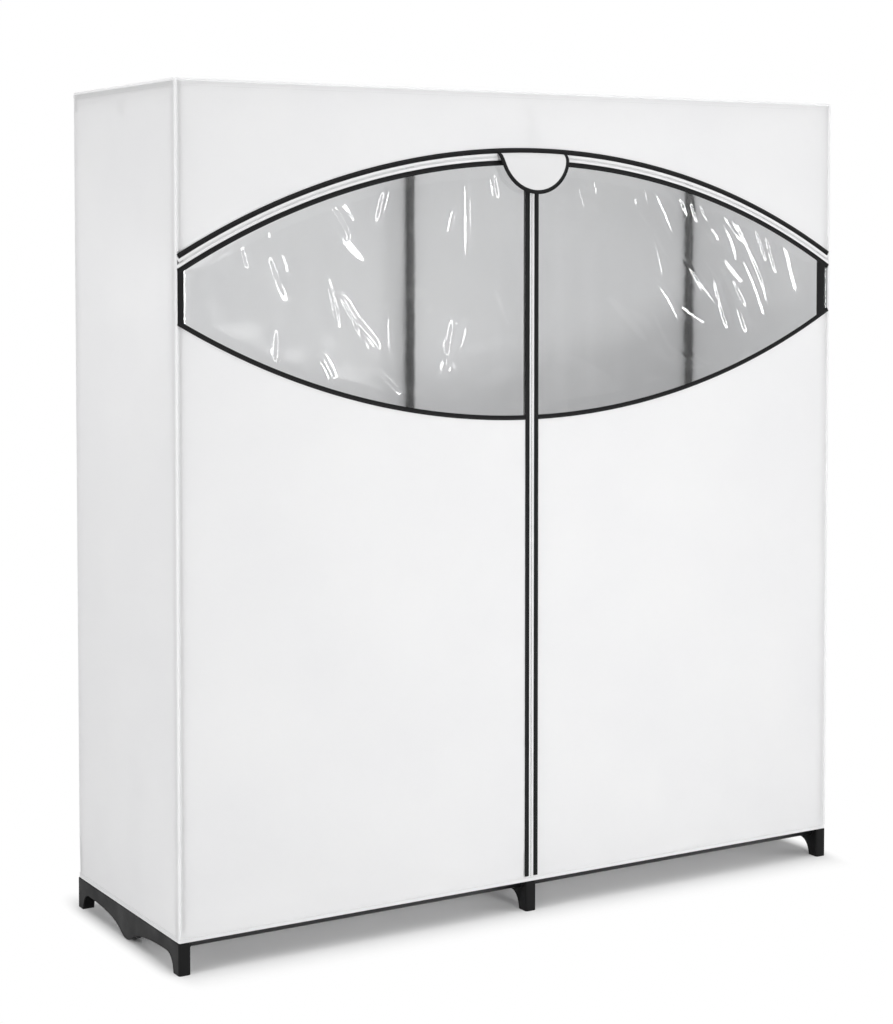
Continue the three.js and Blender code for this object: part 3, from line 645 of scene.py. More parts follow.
def doorRelief(side, x, z, up):
    edge = size["pipingX"]
    along = (edge - np.abs(x)) / (edge - size["centreSeam"])
    fromPiping = edge - np.abs(x)
    fromZip = np.abs(x) - size["centreSeam"]
    fromHem = z - size["coverLow"]
    fromWindow = windowEdge(size["windowSeam"], x) - z
    nearest = np.minimum.reduce([fromPiping - seam["free"], fromZip, fromHem, fromWindow])
    share = frontCloth["highShare"]
    share = (share + (1 - share) * (1 - up)) * (frontCloth["rightShare"] if side > 0 else 1)
    share = share * smoothStep(nearest / frontCloth["driftFade"])
    dip = foldDip(along, up, frontCloth["foldDepth"], frontCloth["folds"])
    dip = dip + share * softWaves(x, z, frontCloth["drift"], side > 0)
    for k, (way, away) in enumerate(((z, fromPiping), (z, fromZip), (x, fromWindow))):
        dip = dip + pucker(way, away, frontCloth["gather"], side + 3 * k)
    pull = frontCloth["hemDip"] * smoothStep(fromPiping / seam["pullFade"])
    return closeOnHem(dip, fromHem, pull) + tuckIn(fromPiping, frontCloth["tuck"], fromHem)


def makeDoorCloth(name, side):
    x, z, up = frontGrid(
        acrossDoor(side, frontCloth["cell"]), lambda x: size["coverLow"] - size["pushedIn"] + 0 * x,
        lambda x: windowEdge(size["windowSeam"] + size["seamGap"], x), frontCloth["cell"], True, False,
    )
    y = size["clothFront"] + doorRelief(side, x, z, up)
    shell = closedSheet(np.stack([x, y, z], -1), size["clothThick"])
    return standIn(name + "_door_cloth", [shell], whiteCloth, name + "_door")


valance = {
    "cell": 7,
    "foldDepth": 1.5,
    "folds": 6,
    "drift": {"seed": 17, "lean": 60, "spread": 40, "count": 14, "shortest": 80, "longest": 360,
              "height": 1.6},
    "driftFade": 50,
    "archGather": {"seed": 41, "spacing": 26, "depth": 0.45, "reach": 14},
    "topGather": {"seed": 42, "spacing": 24, "depth": 0.5, "reach": 12},
    "topTuck": 1.3,
    "stitchDrop": 11,
    "stitchDent": 0.35,
    "stitchWidth": 1.6,
}


def valanceRelief(x, z):
    low, high = archEdge(size["archUpperSeam"], x), size["pipingZ"]
    between = np.sin(np.pi * x / size["uprightX"]) ** 2
    wave = np.cos(np.pi * valance["folds"] * x / size["uprightX"]) ** 2
    dip = valance["foldDepth"] * between * wave * np.sin(np.pi * (z - low) / (high - low)) ** 2
    fromArch, fromTop, fromPiping = z - low, high - z, size["pipingX"] - np.abs(x)
    nearest = np.minimum.reduce([fromArch, fromTop - seam["free"], fromPiping - seam["free"]])
    dip = dip + smoothStep(nearest / valance["driftFade"]) * softWaves(x, z, valance["drift"])
    dip = dip + pucker(x, fromArch, valance["archGather"]) + pucker(x, fromTop, valance["topGather"])
    dip = dip + valance["stitchDent"] * bell(fromTop - valance["stitchDrop"], valance["stitchWidth"])
    return dip + np.maximum(tuckIn(fromTop, valance["topTuck"]), tuckIn(fromPiping, frontCloth["tuck"]))


def makeValance():
    half = size["pipingX"] - size["pipingInset"]
    x, z, _ = frontGrid(
        -half + gradedSteps(2 * half, valance["cell"], True, True),
        lambda x: archEdge(size["archUpperSeam"] + size["seamGap"], x),
        lambda x: size["pipingZ"] - size["pipingInset"] + 0 * x, valance["cell"], False, True,
    )
    outer = np.stack([x, size["clothFront"] + valanceRelief(x, z), z], -1)
    return makePiece(
        "frontValance", [closedSheet(outer, size["clothThick"])], whiteCloth, "frame_and_cover",
        ["left_front_valance", "right_front_valance"],
    )


# A crease is x and height at its one end, x and height at its other end, and its half width.
window = {
    "cell": 3.0,
    "thick": 0.5,
    "liesBack": 3.0,
    "mostProud": 1.2,
    "flatRim": 3,
    "fade": 26,
    "endSlope": 0.4,  # how slowly the film goes back beside the centre zip and the corner
    "tuck": 2.0,
    "drift": {"seed": 61, "lean": 80, "spread": 30, "count": 12, "shortest": 60, "longest": 260,
              "height": 2.6},
    "creases": {
        "left": [
            (-466, 1406, -380, 1279, 11), (-437, 1414, -397, 1369, 6), (-324, 1445, -345, 1362, 8),
            (-146, 1471, -146, 1274, 7), (-171, 1193, -205, 1070, 9), (-352, 1087, -296, 1035, 7),
            (-584, 1365, -574, 1336, 5), (-504, 1399, -491, 1378, 4), (-543, 1314, -529, 1270, 5),
            (-92, 1475, -80, 1410, 6), (-227, 1221, -234, 1198, 4),
            (-633, 1325, -621, 1281, 5), (-452, 1410, -405, 1336, 7),
        ],
        "right": [
            (237, 1428, 364, 1270, 6), (247, 1465, 265, 1368, 5), (292, 1439, 348, 1335, 5),
            (317, 1452, 381, 1381, 9), (428, 1364, 462, 1331, 9), (465, 1296, 523, 1239, 11),
            (366, 1307, 473, 1192, 5), (354, 1200, 427, 1158, 8), (332, 1123, 438, 1066, 6),
            (393, 1107, 464, 1071, 8), (451, 1414, 523, 1323, 6), (504, 1392, 593, 1232, 5),
            (523, 1315, 599, 1167, 6), (546, 1346, 609, 1177, 7), (627, 1346, 666, 1221, 7),
            (168, 1472, 183, 1424, 5), (20, 1359, 32, 1251, 4), (103, 1455, 127, 1385, 5),
            (193, 1460, 218, 1386, 5), (389, 1438, 415, 1366, 6), (215, 1474, 240, 1400, 4),
            (268, 1462, 300, 1370, 4), (345, 1448, 372, 1398, 5), (408, 1430, 440, 1372, 4),
            (480, 1404, 520, 1340, 4), (560, 1370, 596, 1290, 4), (590, 1358, 622, 1262, 5),
            (140, 1478, 156, 1412, 4), (415, 1300, 470, 1238, 5),
        ],
    },
    "steep": {"left": (0.24, 0.38), "right": (0.12, 0.3)},
    "bow": 0.08,
    "seed": 70,
    # More creases, free of the placed ones: their height, how far from the film's two ends, and the
    # mean and spread of their lean in degrees.
    "loose": {"count": 12, "length": (50, 150), "width": (5, 8), "height": (1090, 1480),
              "ends": (200, 40), "left": (104, 18), "right": (120, 10)},
}


def creaseLines(name, draw, x):
    loose = window["loose"]
    x0, x1 = float(x.min()) + loose["ends"][0], float(x.max()) - loose["ends"][1]
    places = [draw.uniform(x0, x1, loose["count"]), draw.uniform(*loose["height"], loose["count"])]
    middle = np.stack(places, -1)
    angle = np.radians(draw.normal(*loose[name], loose["count"]))
    half = draw.uniform(*loose["length"], (loose["count"], 1)) / 2
    ahead = half * np.stack([np.cos(angle), np.sin(angle)], -1)
    wide = draw.uniform(*loose["width"], (loose["count"], 1))
    return np.concatenate([window["creases"][name], np.hstack([middle + ahead, middle - ahead, wide])])


def creaseDip(x, z, draw, lines, steep):
    # Each crease is a ridge along a bowed line: steepness * width * (1 - t^4) * bell(off, width), with
    # t the share of its half length and off the distance from the line.
    total = np.zeros_like(z)
    for startX, startZ, endX, endZ, wide in lines:
        half = math.hypot(endX - startX, endZ - startZ) / 2
        dx, dz = (endX - startX) / (2 * half), (endZ - startZ) / (2 * half)
        fromX, fromZ = x - (startX + endX) / 2, z - (startZ + endZ) / 2
        along = fromX * dx + fromZ * dz
        bow = draw.normal(0, window["bow"])
        off = fromZ * dx - fromX * dz - bow * (along ** 2 / half - half / 3)
        taper = np.clip(1 - (along / half) ** 4, 0, 1)
        height = draw.uniform(*steep) * wide * draw.choice([-1, 1])
        total += height * taper * bell(off, wide)
    return total


def makeWindow(name, side):
    x, z, _ = frontGrid(
        acrossDoor(side, window["cell"]), lambda x: windowEdge(size["windowSeam"] - size["seamGap"], x),
        lambda x: archEdge(size["archLowerSeam"] - size["seamGap"], x), window["cell"], False, False,
    )
    fromEdge = np.minimum.reduce([
        z - windowEdge(size["windowSeam"], x), archEdge(size["archLowerSeam"], x) - z,
        (np.abs(x) - size["centreSeam"]) * window["endSlope"],
        (size["doorEdge"] - np.abs(x)) * window["endSlope"],
    ])
    inField = smoothStep((fromEdge - window["flatRim"]) / window["fade"])
    draw = np.random.default_rng(window["seed"] + (side > 0))
    creased = creaseDip(x, z, draw, creaseLines(name, draw, x), window["steep"][name])
    dip = inField * (window["liesBack"] + softWaves(x, z, window["drift"], side > 0) + creased)
    dip = np.maximum(dip, -window["mostProud"]) + tuckIn(size["pipingX"] - np.abs(x), window["tuck"])
    shell = closedSheet(np.stack([x, size["clothFront"] + dip, z], -1), window["thick"])
    return standIn(name + "_window", [shell], clearVinyl, name + "_door")


doorCloths = {name: makeDoorCloth(name, side) for name, side in (("left", -1), ("right", 1))}
windows = {name: makeWindow(name, side) for name, side in (("left", -1), ("right", 1))}
frontValance = makeValance()
print("front cloth and windows made")

# Bindings and zip tapes on the front
binding = {
    "width": 9.9,
    "windowWidth": 9.2,
    "thick": 0.8,
    "crown": 0.55,
    "face": size["frontFace"],
    "profileSides": 20,
    "step": 9,
    "archStart": 6,  # from the middle
    "windowStart": 14.8,
    "foot": 1.4,  # above the cover's foot
    "centreTop": 1482.2,
    "endBands": {"left": (-751.3, 10.8), "right": (737.75, 18.5)},  # x and width
    "endBandArc": 1477.5,
}
tape = {
    "width": 10.8,
    "centreWidth": 9.3,
    "thick": 0.7,
    "crown": 0.1,
    "face": size["clothFront"],
    "lowerArc": 1485.8,
    "upperArc": 1498.2,
    "archStart": 0.8,
    "centreX": 5.45,
    "centreTop": 1483,
}


def stripProfile(width, thick, crown, sides):
    # A pressed fold: a superellipse, across = w/2 * cos^(1/3), out = t/2 * sin^(1/2), whose front
    # half is raised by crown * (1 - across^2).
    angle = 2 * np.pi * np.arange(sides) / sides
    across = np.sign(np.cos(angle)) * np.abs(np.cos(angle)) ** (1 / 3)
    out = np.sign(np.sin(angle)) * np.abs(np.sin(angle)) ** 0.5
    lift = np.where(out > 0, crown * (1 - across ** 2), 0)
    return np.stack([across * width / 2, out * thick / 2 + lift], -1)


def frontStrip(path, width, look):
    # Carries a flat profile along a line on the front; across is square to the line, out is -y.
    line = np.stack([path[:, 0], np.full(len(path), look["face"] + look["thick"] / 2), path[:, 1]], -1)
    tangent = unit(np.gradient(line, axis=0))
    out = np.tile([0.0, -1.0, 0.0], (len(line), 1))
    profile = stripProfile(width, look["thick"], look["crown"], binding["profileSides"])
    return sweep(line, np.cross(tangent, out), out, profile)


def arcPath(edge, radius, x0, x1):
    x = np.linspace(x0, x1, max(3, round(abs(x1 - x0) / binding["step"])))
    return np.stack([x, edge(radius, x)], -1)


def levelPath(x, z0, z1):
    z = np.linspace(z0, z1, max(3, round(abs(z1 - z0) / binding["step"])))
    return np.stack([np.full(len(z), x), z], -1)


def doorStrips(name, side):
    # The strips of one door's trim, by the names of their nodes.
    outer = size["doorEdge"] * side
    bandX, bandWidth = binding["endBands"][name]
    bandLow = float(windowEdge(size["windowSeam"], np.array(bandX)))
    bandHigh = float(archEdge(binding["endBandArc"], np.array(bandX)))
    arch = arcPath(archEdge, size["archLowerSeam"], binding["archStart"] * side, outer)
    foot = size["coverLow"] + binding["foot"]
    centre = levelPath(size["centreSeam"] * side, foot, binding["centreTop"])
    border = arcPath(windowEdge, size["windowSeam"], binding["windowStart"] * side, outer)
    band = levelPath(bandX, bandLow, bandHigh)
    archTape = arcPath(archEdge, tape["lowerArc"], tape["archStart"] * side, outer)
    centreTape = levelPath(tape["centreX"] * side, size["coverLow"], tape["centreTop"])
    edging = {
        "arch_binding": [frontStrip(arch, binding["width"], binding)],
        "centre_binding": [frontStrip(centre, binding["width"], binding)],
        "window_binding": [
            frontStrip(border, binding["windowWidth"], binding), frontStrip(band, bandWidth, binding),
        ],
    }
    zips = {
        "arch_zip_tape": [frontStrip(archTape, tape["width"], tape)],
        "centre_zip_tape": [frontStrip(centreTape, tape["centreWidth"], tape)],
    }
    return edging, zips


bindings, tapes = {}, {}
for name, side in (("left", -1), ("right", 1)):
    edging, zips = doorStrips(name, side)
    door = name + "_door"
    bindings[name] = [
        standIn(f"{name}_{node}", shells, blackBinding, door)
        for node, shells in edging.items()
    ]
    tapes[name] = [
        standIn(f"{name}_{node}", shells, zipTape, door) for node, shells in zips.items()
    ]
seamArc = arcPath(archEdge, size["archUpperSeam"], -size["doorEdge"], size["doorEdge"])
upperBinding = standIn(
    "arch_upper_binding", [frontStrip(seamArc, binding["width"], binding)], blackBinding,
    "frame_and_cover",
)
tapeArc = arcPath(archEdge, tape["upperArc"], -size["doorEdge"], size["doorEdge"])
upperTape = standIn(
    "arch_upper_zip_tape", [frontStrip(tapeArc, tape["width"], tape)], zipTape, "frame_and_cover",
)
print("bindings and zip tapes made")

# Zip teeth and the stitches on the bindings. The real coil is about 1.3 mm from turn to turn, drawn at
# 2.2 mm for each side so that a close view shows it, and the stitches at 4 mm are near the real 3 mm.
zipTeeth = {
    "long": 3.6,
    "wide": 1.1,
    "high": 1.3,
    "pitch": 2.2,
    "turn": 66,
    "offset": 0.9,
    "face": -246.8,
    "archStart": 1.5,
    "top": 1482,
    "short": 1,  # how far it ends before the corner and above the foot
}
stitch = {
    "long": 3.0,
    "wide": 0.6,
    "high": 0.4,
    "pitch": 4.0,
    "proud": 0.42,
    "fromMiddle": 2.2,  # of a binding
    "archStart": 12,
    "windowStart": 16,
    "windowFromMiddle": 2.0,
    "foot": 4,
    "top": 1474,
}
toothForm = bead(zipTeeth["long"], zipTeeth["wide"], zipTeeth["high"], 6)
stitchForm = bead(stitch["long"], stitch["wide"], stitch["high"], 4)


def onFront(path, y):
    # A line on the front as points, with the normals that face forwards.
    points = np.stack([path[:, 0], np.broadcast_to(y, len(path)), path[:, 1]], -1)
    return points, np.tile([0.0, -1.0, 0.0], (len(path), 1))


def teethAlong(path, start):
    points, out = onFront(path, zipTeeth["face"])
    return rowAlong(points, out, zipTeeth["pitch"], toothForm, zipTeeth["turn"], start)


def stitchesAlong(path):
    # On a binding's crown, a little in from its inner edge.
    points, out = onFront(path, size["frontFace"] - stitch["proud"])
    return rowAlong(points, out, stitch["pitch"], stitchForm)


rowEnd = size["doorEdge"] - zipTeeth["short"]
coilLow, coilHigh = size["archCoil"] - zipTeeth["offset"], size["archCoil"] + zipTeeth["offset"]
archRow = size["archLowerSeam"] - stitch["fromMiddle"]
centreRow = size["centreSeam"] + stitch["fromMiddle"]
windowRow = size["windowSeam"] + stitch["windowFromMiddle"]
upperRow = size["archUpperSeam"] + stitch["fromMiddle"]
coilFoot, stitchFoot = size["coverLow"] + zipTeeth["short"], size["coverLow"] + stitch["foot"]
for name, side in (("left", -1), ("right", 1)):
    door, outer = name + "_door", rowEnd * side
    coilPath = levelPath(zipTeeth["offset"] * side, coilFoot, zipTeeth["top"])
    rows = [
        teethAlong(arcPath(archEdge, coilLow, zipTeeth["archStart"] * side, outer), 0.5),
        teethAlong(coilPath, 0.5 if side < 0 else 1.0),
    ]
    makePiece(name + "ZipTeeth", rows, nylonCoil, door, sharp=60)
    rows = [
        stitchesAlong(arcPath(archEdge, archRow, stitch["archStart"] * side, outer)),
        stitchesAlong(levelPath(centreRow * side, stitchFoot, stitch["top"])),
        stitchesAlong(arcPath(windowEdge, windowRow, stitch["windowStart"] * side, outer)),
    ]
    makePiece(name + "DoorStitches", rows, blackThread, door, sharp=60)
rows = [teethAlong(arcPath(archEdge, coilHigh, -rowEnd, rowEnd), 1.0)]
makePiece("archUpperZipTeeth", rows, nylonCoil, "frame_and_cover", sharp=60)
rows = [stitchesAlong(arcPath(archEdge, upperRow, -rowEnd, rowEnd))]
makePiece("archUpperStitches", rows, blackThread, "frame_and_cover", sharp=60)
print("zip teeth and binding stitches made")

# Side, back and top of the cover
wall = {
    "cell": 9,
    "backFace": 246.4,
    "cornerRadius": 8,
    "cornerPoints": 7,
    "topRadius": 15,
    "foldY": 231.4,  # where the top begins to curve down to the back
    "foldPoints": 13,
}
sideWall = {
    "foldDepth": 4,
    "folds": 3,
    "footDip": 3,
    "footPower": 6,
    "drift": {"seed": 81, "lean": 25, "spread": 40, "count": 14, "shortest": 90, "longest": 380,
              "height": 3.4},
    "driftFade": 60,
    "highShare": 0.4,  # how much of the drift is left at the top
    "gather": {"seed": 83, "spacing": 26, "depth": 0.5, "reach": 14},
    "hemDip": 2.2,
    "rearLess": 0.5,  # the share of hemDip that is missing at the rear corner
    "tuck": 0.5,
    "stitchDent": 0.3,
    "groove": {"depth": 0.6, "fromCorner": 7, "width": 4},
}
backWall = {
    "foldDepth": 4,
    "folds": 9,
    "drift": {"seed": 91, "lean": 15, "spread": 45, "count": 18, "shortest": 120, "longest": 520,
              "height": 4.0},
    "driftFade": 80,
    "gather": {"seed": 94, "spacing": 28, "depth": 0.5, "reach": 12},
    "gatherFade": 20,
    "cornerDip": 1.1,
    "hemDip": 2.4,
    "hemDipFade": 60,
}
roof = {
    "sag": 5,
    "sagReach": 216.5,
    "drift": {"seed": 97, "lean": 60, "spread": 50, "count": 12, "shortest": 90, "longest": 300,
              "height": 2.2},
    "driftFade": 40,
    "frontGather": {"seed": 98, "spacing": 24, "depth": 0.5, "reach": 12},
    "sideGather": {"seed": 99, "spacing": 24, "depth": 0.5, "reach": 12},
    "rearFade": 20,
    "tuck": 1.4,
    "tuckFade": 6,
}
cornerY = wall["backFace"] - wall["cornerRadius"]


def rearEdge(y):
    # The height of the top's quarter circle where it comes down to the back.
    radius = wall["topRadius"]
    fall = np.clip(y - wall["foldY"], 0, radius)
    return size["topFace"] - radius + np.sqrt(radius ** 2 - fall ** 2)


def sideRelief(side, y, z):
    # A wall dips inwards by the frame's folds, by a hollow low down, a soft drift and the gathers; it is
    # pulled in above the hem, dented along the upper stitches and grooved beside the rear corner.
    front, low, high = size["pipingY"], size["coverLow"], size["pipingZ"]
    along, up = (y - front) / (cornerY - front), np.clip((z - low) / (high - low), 0, 1)
    fromPiping, fromTop, fromHem, fromCorner = y - front, high - z, z - low, cornerY - y
    dip = foldDip(along, up, sideWall["foldDepth"], sideWall["folds"])
    dip = dip + sideWall["footDip"] * np.sin(np.pi * along) ** 2 * (1 - up) ** sideWall["footPower"]
    nearest = np.minimum.reduce([fromPiping - seam["free"], fromTop - seam["free"], fromHem, fromCorner])
    share = sideWall["highShare"]
    share = (share + (1 - share) * (1 - up)) * smoothStep(nearest / sideWall["driftFade"])
    dip = dip + share * softWaves(y, z, sideWall["drift"], side > 0)
    dip = dip + pucker(z, fromPiping, sideWall["gather"], side)
    fade, groove = seam["pullFade"], sideWall["groove"]
    pull = sideWall["hemDip"] * smoothStep(fromPiping / fade)
    pull = pull * (1 - sideWall["rearLess"] * smoothStep((fade - fromCorner) / fade))
    dip = closeOnHem(dip, fromHem, pull)
    dip = dip + sideWall["stitchDent"] * bell(fromTop - valance["stitchDrop"], valance["stitchWidth"])
    grooved = groove["depth"] * bell(fromCorner - groove["fromCorner"], groove["width"])
    dip = dip + grooved * smoothStep(fromHem / fade)
    tucks = tuckIn(fromPiping, sideWall["tuck"], fromHem), tuckIn(fromTop, sideWall["tuck"])
    return dip + np.maximum(*tucks)


def makeSide(name, side):
    # A wall on a straight plan line, from the corner piping's middle to the back's round corner.
    start = size["pipingY"] + size["pipingInset"]
    y = start + gradedSteps(cornerY - start, wall["cell"], True, False)
    low, high = size["coverLow"] - size["pushedIn"], size["pipingZ"] - size["pipingInset"]
    z = low + gradedSteps(high - low, wall["cell"], True, True)
    y, z = np.meshgrid(y if side > 0 else y[::-1], z)
    outer = np.stack([side * (size["sideOuter"] - sideRelief(side, y, z)), y, z], -1)
    shell = closedSheet(outer, size["clothThick"], np.stack([y, z], -1))
    return standIn(name + "_side_panel", [shell], whiteCloth, "frame_and_cover")


def makeBack():
    # A wall on a plan line with a quarter circle at each end, whose upper edge rises round the corners
    # to meet the top; the dip is along the line's normal.
    radius, points = wall["cornerRadius"], wall["cornerPoints"]
    foldX = size["sideOuter"] - radius
    turn = np.linspace(0, np.pi / 2, points)
    straight = np.linspace(foldX, -foldX, round(2 * foldX / wall["cell"]) + 1)[1:-1]
    normalX = np.concatenate([np.cos(turn), 0 * straight, -np.cos(turn[::-1])])
    normalY = np.concatenate([np.sin(turn), 0 * straight + 1, np.sin(turn[::-1])])
    baseX = np.concatenate([np.full(points, foldX), straight, np.full(points, -foldX)])
    x, y = baseX + radius * normalX, cornerY + radius * normalY
    low, high = size["coverLow"] - size["pushedIn"], rearEdge(y)
    tallest = float(high.max()) - low
    up = gradedSteps(tallest, wall["cell"], True, False)[:, None] / tallest
    z = low + (high - low) * up
    between = np.sin(np.pi * x / size["uprightX"]) ** 2
    wave = np.cos(np.pi * backWall["folds"] * x / size["uprightX"]) ** 2
    dip = backWall["foldDepth"] * between * wave * np.sin(np.pi * up)
    fromCorner = np.maximum(foldX - np.abs(x), 0) + 0 * z
    nearest = np.minimum.reduce([z - low, high - z, fromCorner])
    across = x + 0 * z
    dip = dip + smoothStep(nearest / backWall["driftFade"]) * softWaves(across, z, backWall["drift"])
    gathered = pucker(across, high - z, backWall["gather"])
    dip = dip + gathered * smoothStep(fromCorner / backWall["gatherFade"])
    pull = backWall["cornerDip"] + backWall["hemDip"] * smoothStep(fromCorner / backWall["hemDipFade"])
    dip = closeOnHem(dip, z - size["coverLow"], pull)
    outer = np.stack([x - normalX * dip, y - normalY * dip, z], -1)
    lay = np.stack(np.broadcast_arrays(runAlong(np.stack([x, y], -1)), z), -1)
    shell = closedSheet(outer, size["clothThick"], lay)
    return standIn("back_panel", [shell], whiteCloth, "frame_and_cover")


def makeTop():
    # The top: flat to the rear, then a quarter circle down; it sags between the rails and the tubes. In
    # plan its rear corners are round, as the back's are.
    radius, foldY, edge = wall["topRadius"], wall["foldY"], size["doorEdge"]
    inset = size["pipingInset"]
    front = size["pipingY"] + inset
    turn = np.linspace(0, np.pi / 2, wall["foldPoints"])[1:]
    flat = front + gradedSteps(foldY - front, wall["cell"], True, False)
    y = np.concatenate([flat, foldY + radius * np.sin(turn)])[:, None]
    corner = np.sqrt(wall["cornerRadius"] ** 2 - np.clip(y - cornerY, 0, wall["cornerRadius"]) ** 2)
    halfWide = np.minimum(size["pipingX"] - inset, size["sideOuter"] - wall["cornerRadius"] + corner)
    across = gradedSteps(2, wall["cell"] / edge, False, False)
    fine = np.array(seam["steps"][:-1]) / edge
    across = np.concatenate([fine, across[(across > fine[-1]) & (across < 2 - fine[-1])], 2 - fine[::-1]])
    x = halfWide * (across[None] - 1)
    y = y + 0 * x
    z = rearEdge(y)
    between = np.maximum(0, 1 - (y / roof["sagReach"]) ** 2)
    sag = roof["sag"] * np.sin(np.pi * x / edge) ** 2 * between
    fromSide, fromFront = halfWide - np.abs(x), y - front
    nearest = np.minimum.reduce([fromSide - seam["free"], fromFront - seam["free"], foldY - y])
    sag = sag + smoothStep(nearest / roof["driftFade"]) * np.abs(softWaves(x, y, roof["drift"]))
    sag = sag + pucker(x, fromFront, roof["frontGather"]) + pucker(y, fromSide, roof["sideGather"])
    sag = sag * smoothStep((foldY + radius - y) / roof["rearFade"])
    tuck = np.maximum(tuckIn(fromSide + inset, roof["tuck"]), tuckIn(fromFront + inset, roof["tuck"]))
    outer = np.stack([x, y, z - sag - tuck * smoothStep((foldY - y) / roof["tuckFade"])], -1)
    run = runAlong(np.stack([y[:, 0], z[:, 0]], -1))
    lay = np.stack(np.broadcast_arrays(x, run[:, None]), -1)
    shell = closedSheet(outer, size["clothThick"], lay)
    return standIn("top_panel", [shell], whiteCloth, "frame_and_cover")


sidePanels = [makeSide("left", -1), makeSide("right", 1)]
backPanel = makeBack()
topPanel = makeTop()
print("walls and top made")

# Piping and hem
piping = {"radius": 2.5, "sides": 16, "step": 5, "bend": 2.4, "ripple": 0.12, "rippleLength": 14}


def ringProfile(radius, sides, path):
    # A circle that swells and narrows a little along the path, as cord in a cloth sleeve does.
    angle = 2 * np.pi * np.arange(sides) / sides
    run = runAlong(path)
    swell = piping["ripple"] * np.sin(2 * np.pi * run / piping["rippleLength"] + 2 * np.sin(run / 60))
    grown = (radius + np.minimum(swell, 0))[:, None]
    return np.stack([grown * np.cos(angle), grown * np.sin(angle)], -1)


def roundTube(path, radius, sides):
    tangent = unit(np.gradient(path, axis=0))
    side = unit(np.cross(tangent, [0.31, 0.87, 0.38]))
    return sweep(path, side, np.cross(tangent, side), ringProfile(radius, sides, path))


def spaced(start, end, step):
    count = max(2, round(np.linalg.norm(np.subtract(end, start)) / step))
    return np.linspace(start, end, count + 1)


def makePiping():
    # Up each front corner, back along the top, and round the rear corner into the back's upper seam.
    axisX, axisY, axisZ, rear = size["pipingX"], size["pipingY"], size["pipingZ"], wall["foldY"]
    bend, step = piping["bend"], piping["step"]
    inset = size["topFace"] - axisZ
    shells = []
    turn = np.linspace(0, np.pi / 2, 7)[1:-1, None]
    for side in (-1, 1):
        x = side * axisX
        up = spaced((x, axisY, size["coverLow"] - 1), (x, axisY, axisZ - bend), step)
        centre = np.array([x, axisY + bend, axisZ - bend])
        corner = centre + bend * (np.cos(turn) * [0, -1, 0] + np.sin(turn) * [0, 0, 1])
        back = spaced((x, axisY + bend, axisZ), (x, rear, axisZ), step)
        fall = np.linspace(0, np.pi / 2, 12)[1:]
        downY = rear + (wall["topRadius"] - inset) * np.sin(fall)
        downZ = size["topFace"] - wall["topRadius"] + (wall["topRadius"] - inset) * np.cos(fall)
        reach = wall["cornerRadius"] - inset
        plan = np.sqrt(np.maximum(reach ** 2 - np.maximum(downY - cornerY, 0) ** 2, 0))
        downX = side * (size["sideOuter"] - wall["cornerRadius"] + plan)
        down = np.stack([downX, downY, downZ], -1)
        path = np.concatenate([up, corner, back, down, down[-1:] + [-6 * side, -3, 0]])
        shells.append(roundTube(path, piping["radius"], piping["sides"]))
    across = spaced((-axisX + 1, axisY, axisZ), (axisX - 1, axisY, axisZ), step)
    shells.append(roundTube(across, piping["radius"], piping["sides"]))
    standIn("edge_piping", shells, whiteCloth, "frame_and_cover", sharp=60)


hem = {
    "low": 60.3,
    "high": 69.3,
    "inset": 0.4,
    "thick": 1.9,
    "frontRadius": 4,
    "backRadius": 8,
    "step": 6,
    "profileSides": 44,
    "hollow": 0.85,
    # How high a roll is, where its middle is above the band's middle, and its width
    "rolls": ((1, -4.2, 2.4), (0.6, 3.9, 0.8)),
    "stitchUp": 2.3,
    "stitchDent": 0.35,
    "stitchWidth": 0.5,
    "stitchSunk": 0.6,
}


def roundedLoop(halfX, halfY, radii, step):
    # A rectangle with round corners, once round from the front left, with its outward normals.
    corners = [(-1, -1, radii[0]), (1, -1, radii[0]), (1, 1, radii[1]), (-1, 1, radii[1])]
    points, normals = [], []
    for k, (sx, sy, radius) in enumerate(corners):
        centre = np.array([sx * (halfX - radius), sy * (halfY - radius)])
        angle = math.pi * (1 + k / 2) + np.linspace(0, np.pi / 2, 6)
        normal = np.stack([np.cos(angle), np.sin(angle)], -1)
        points.append(centre + radius * normal)
        normals.append(normal)
        nx, ny, nextRadius = corners[(k + 1) % 4]
        goal = np.array([nx * (halfX - nextRadius), ny * (halfY - nextRadius)]) + nextRadius * normal[-1]
        count = round(np.linalg.norm(goal - points[-1][-1]) / step)
        points.append(np.linspace(points[-1][-1], goal, count + 1)[1:-1])
        normals.append(np.tile(normal[-1], (count - 1, 1)))
    return np.concatenate(points), np.concatenate(normals)


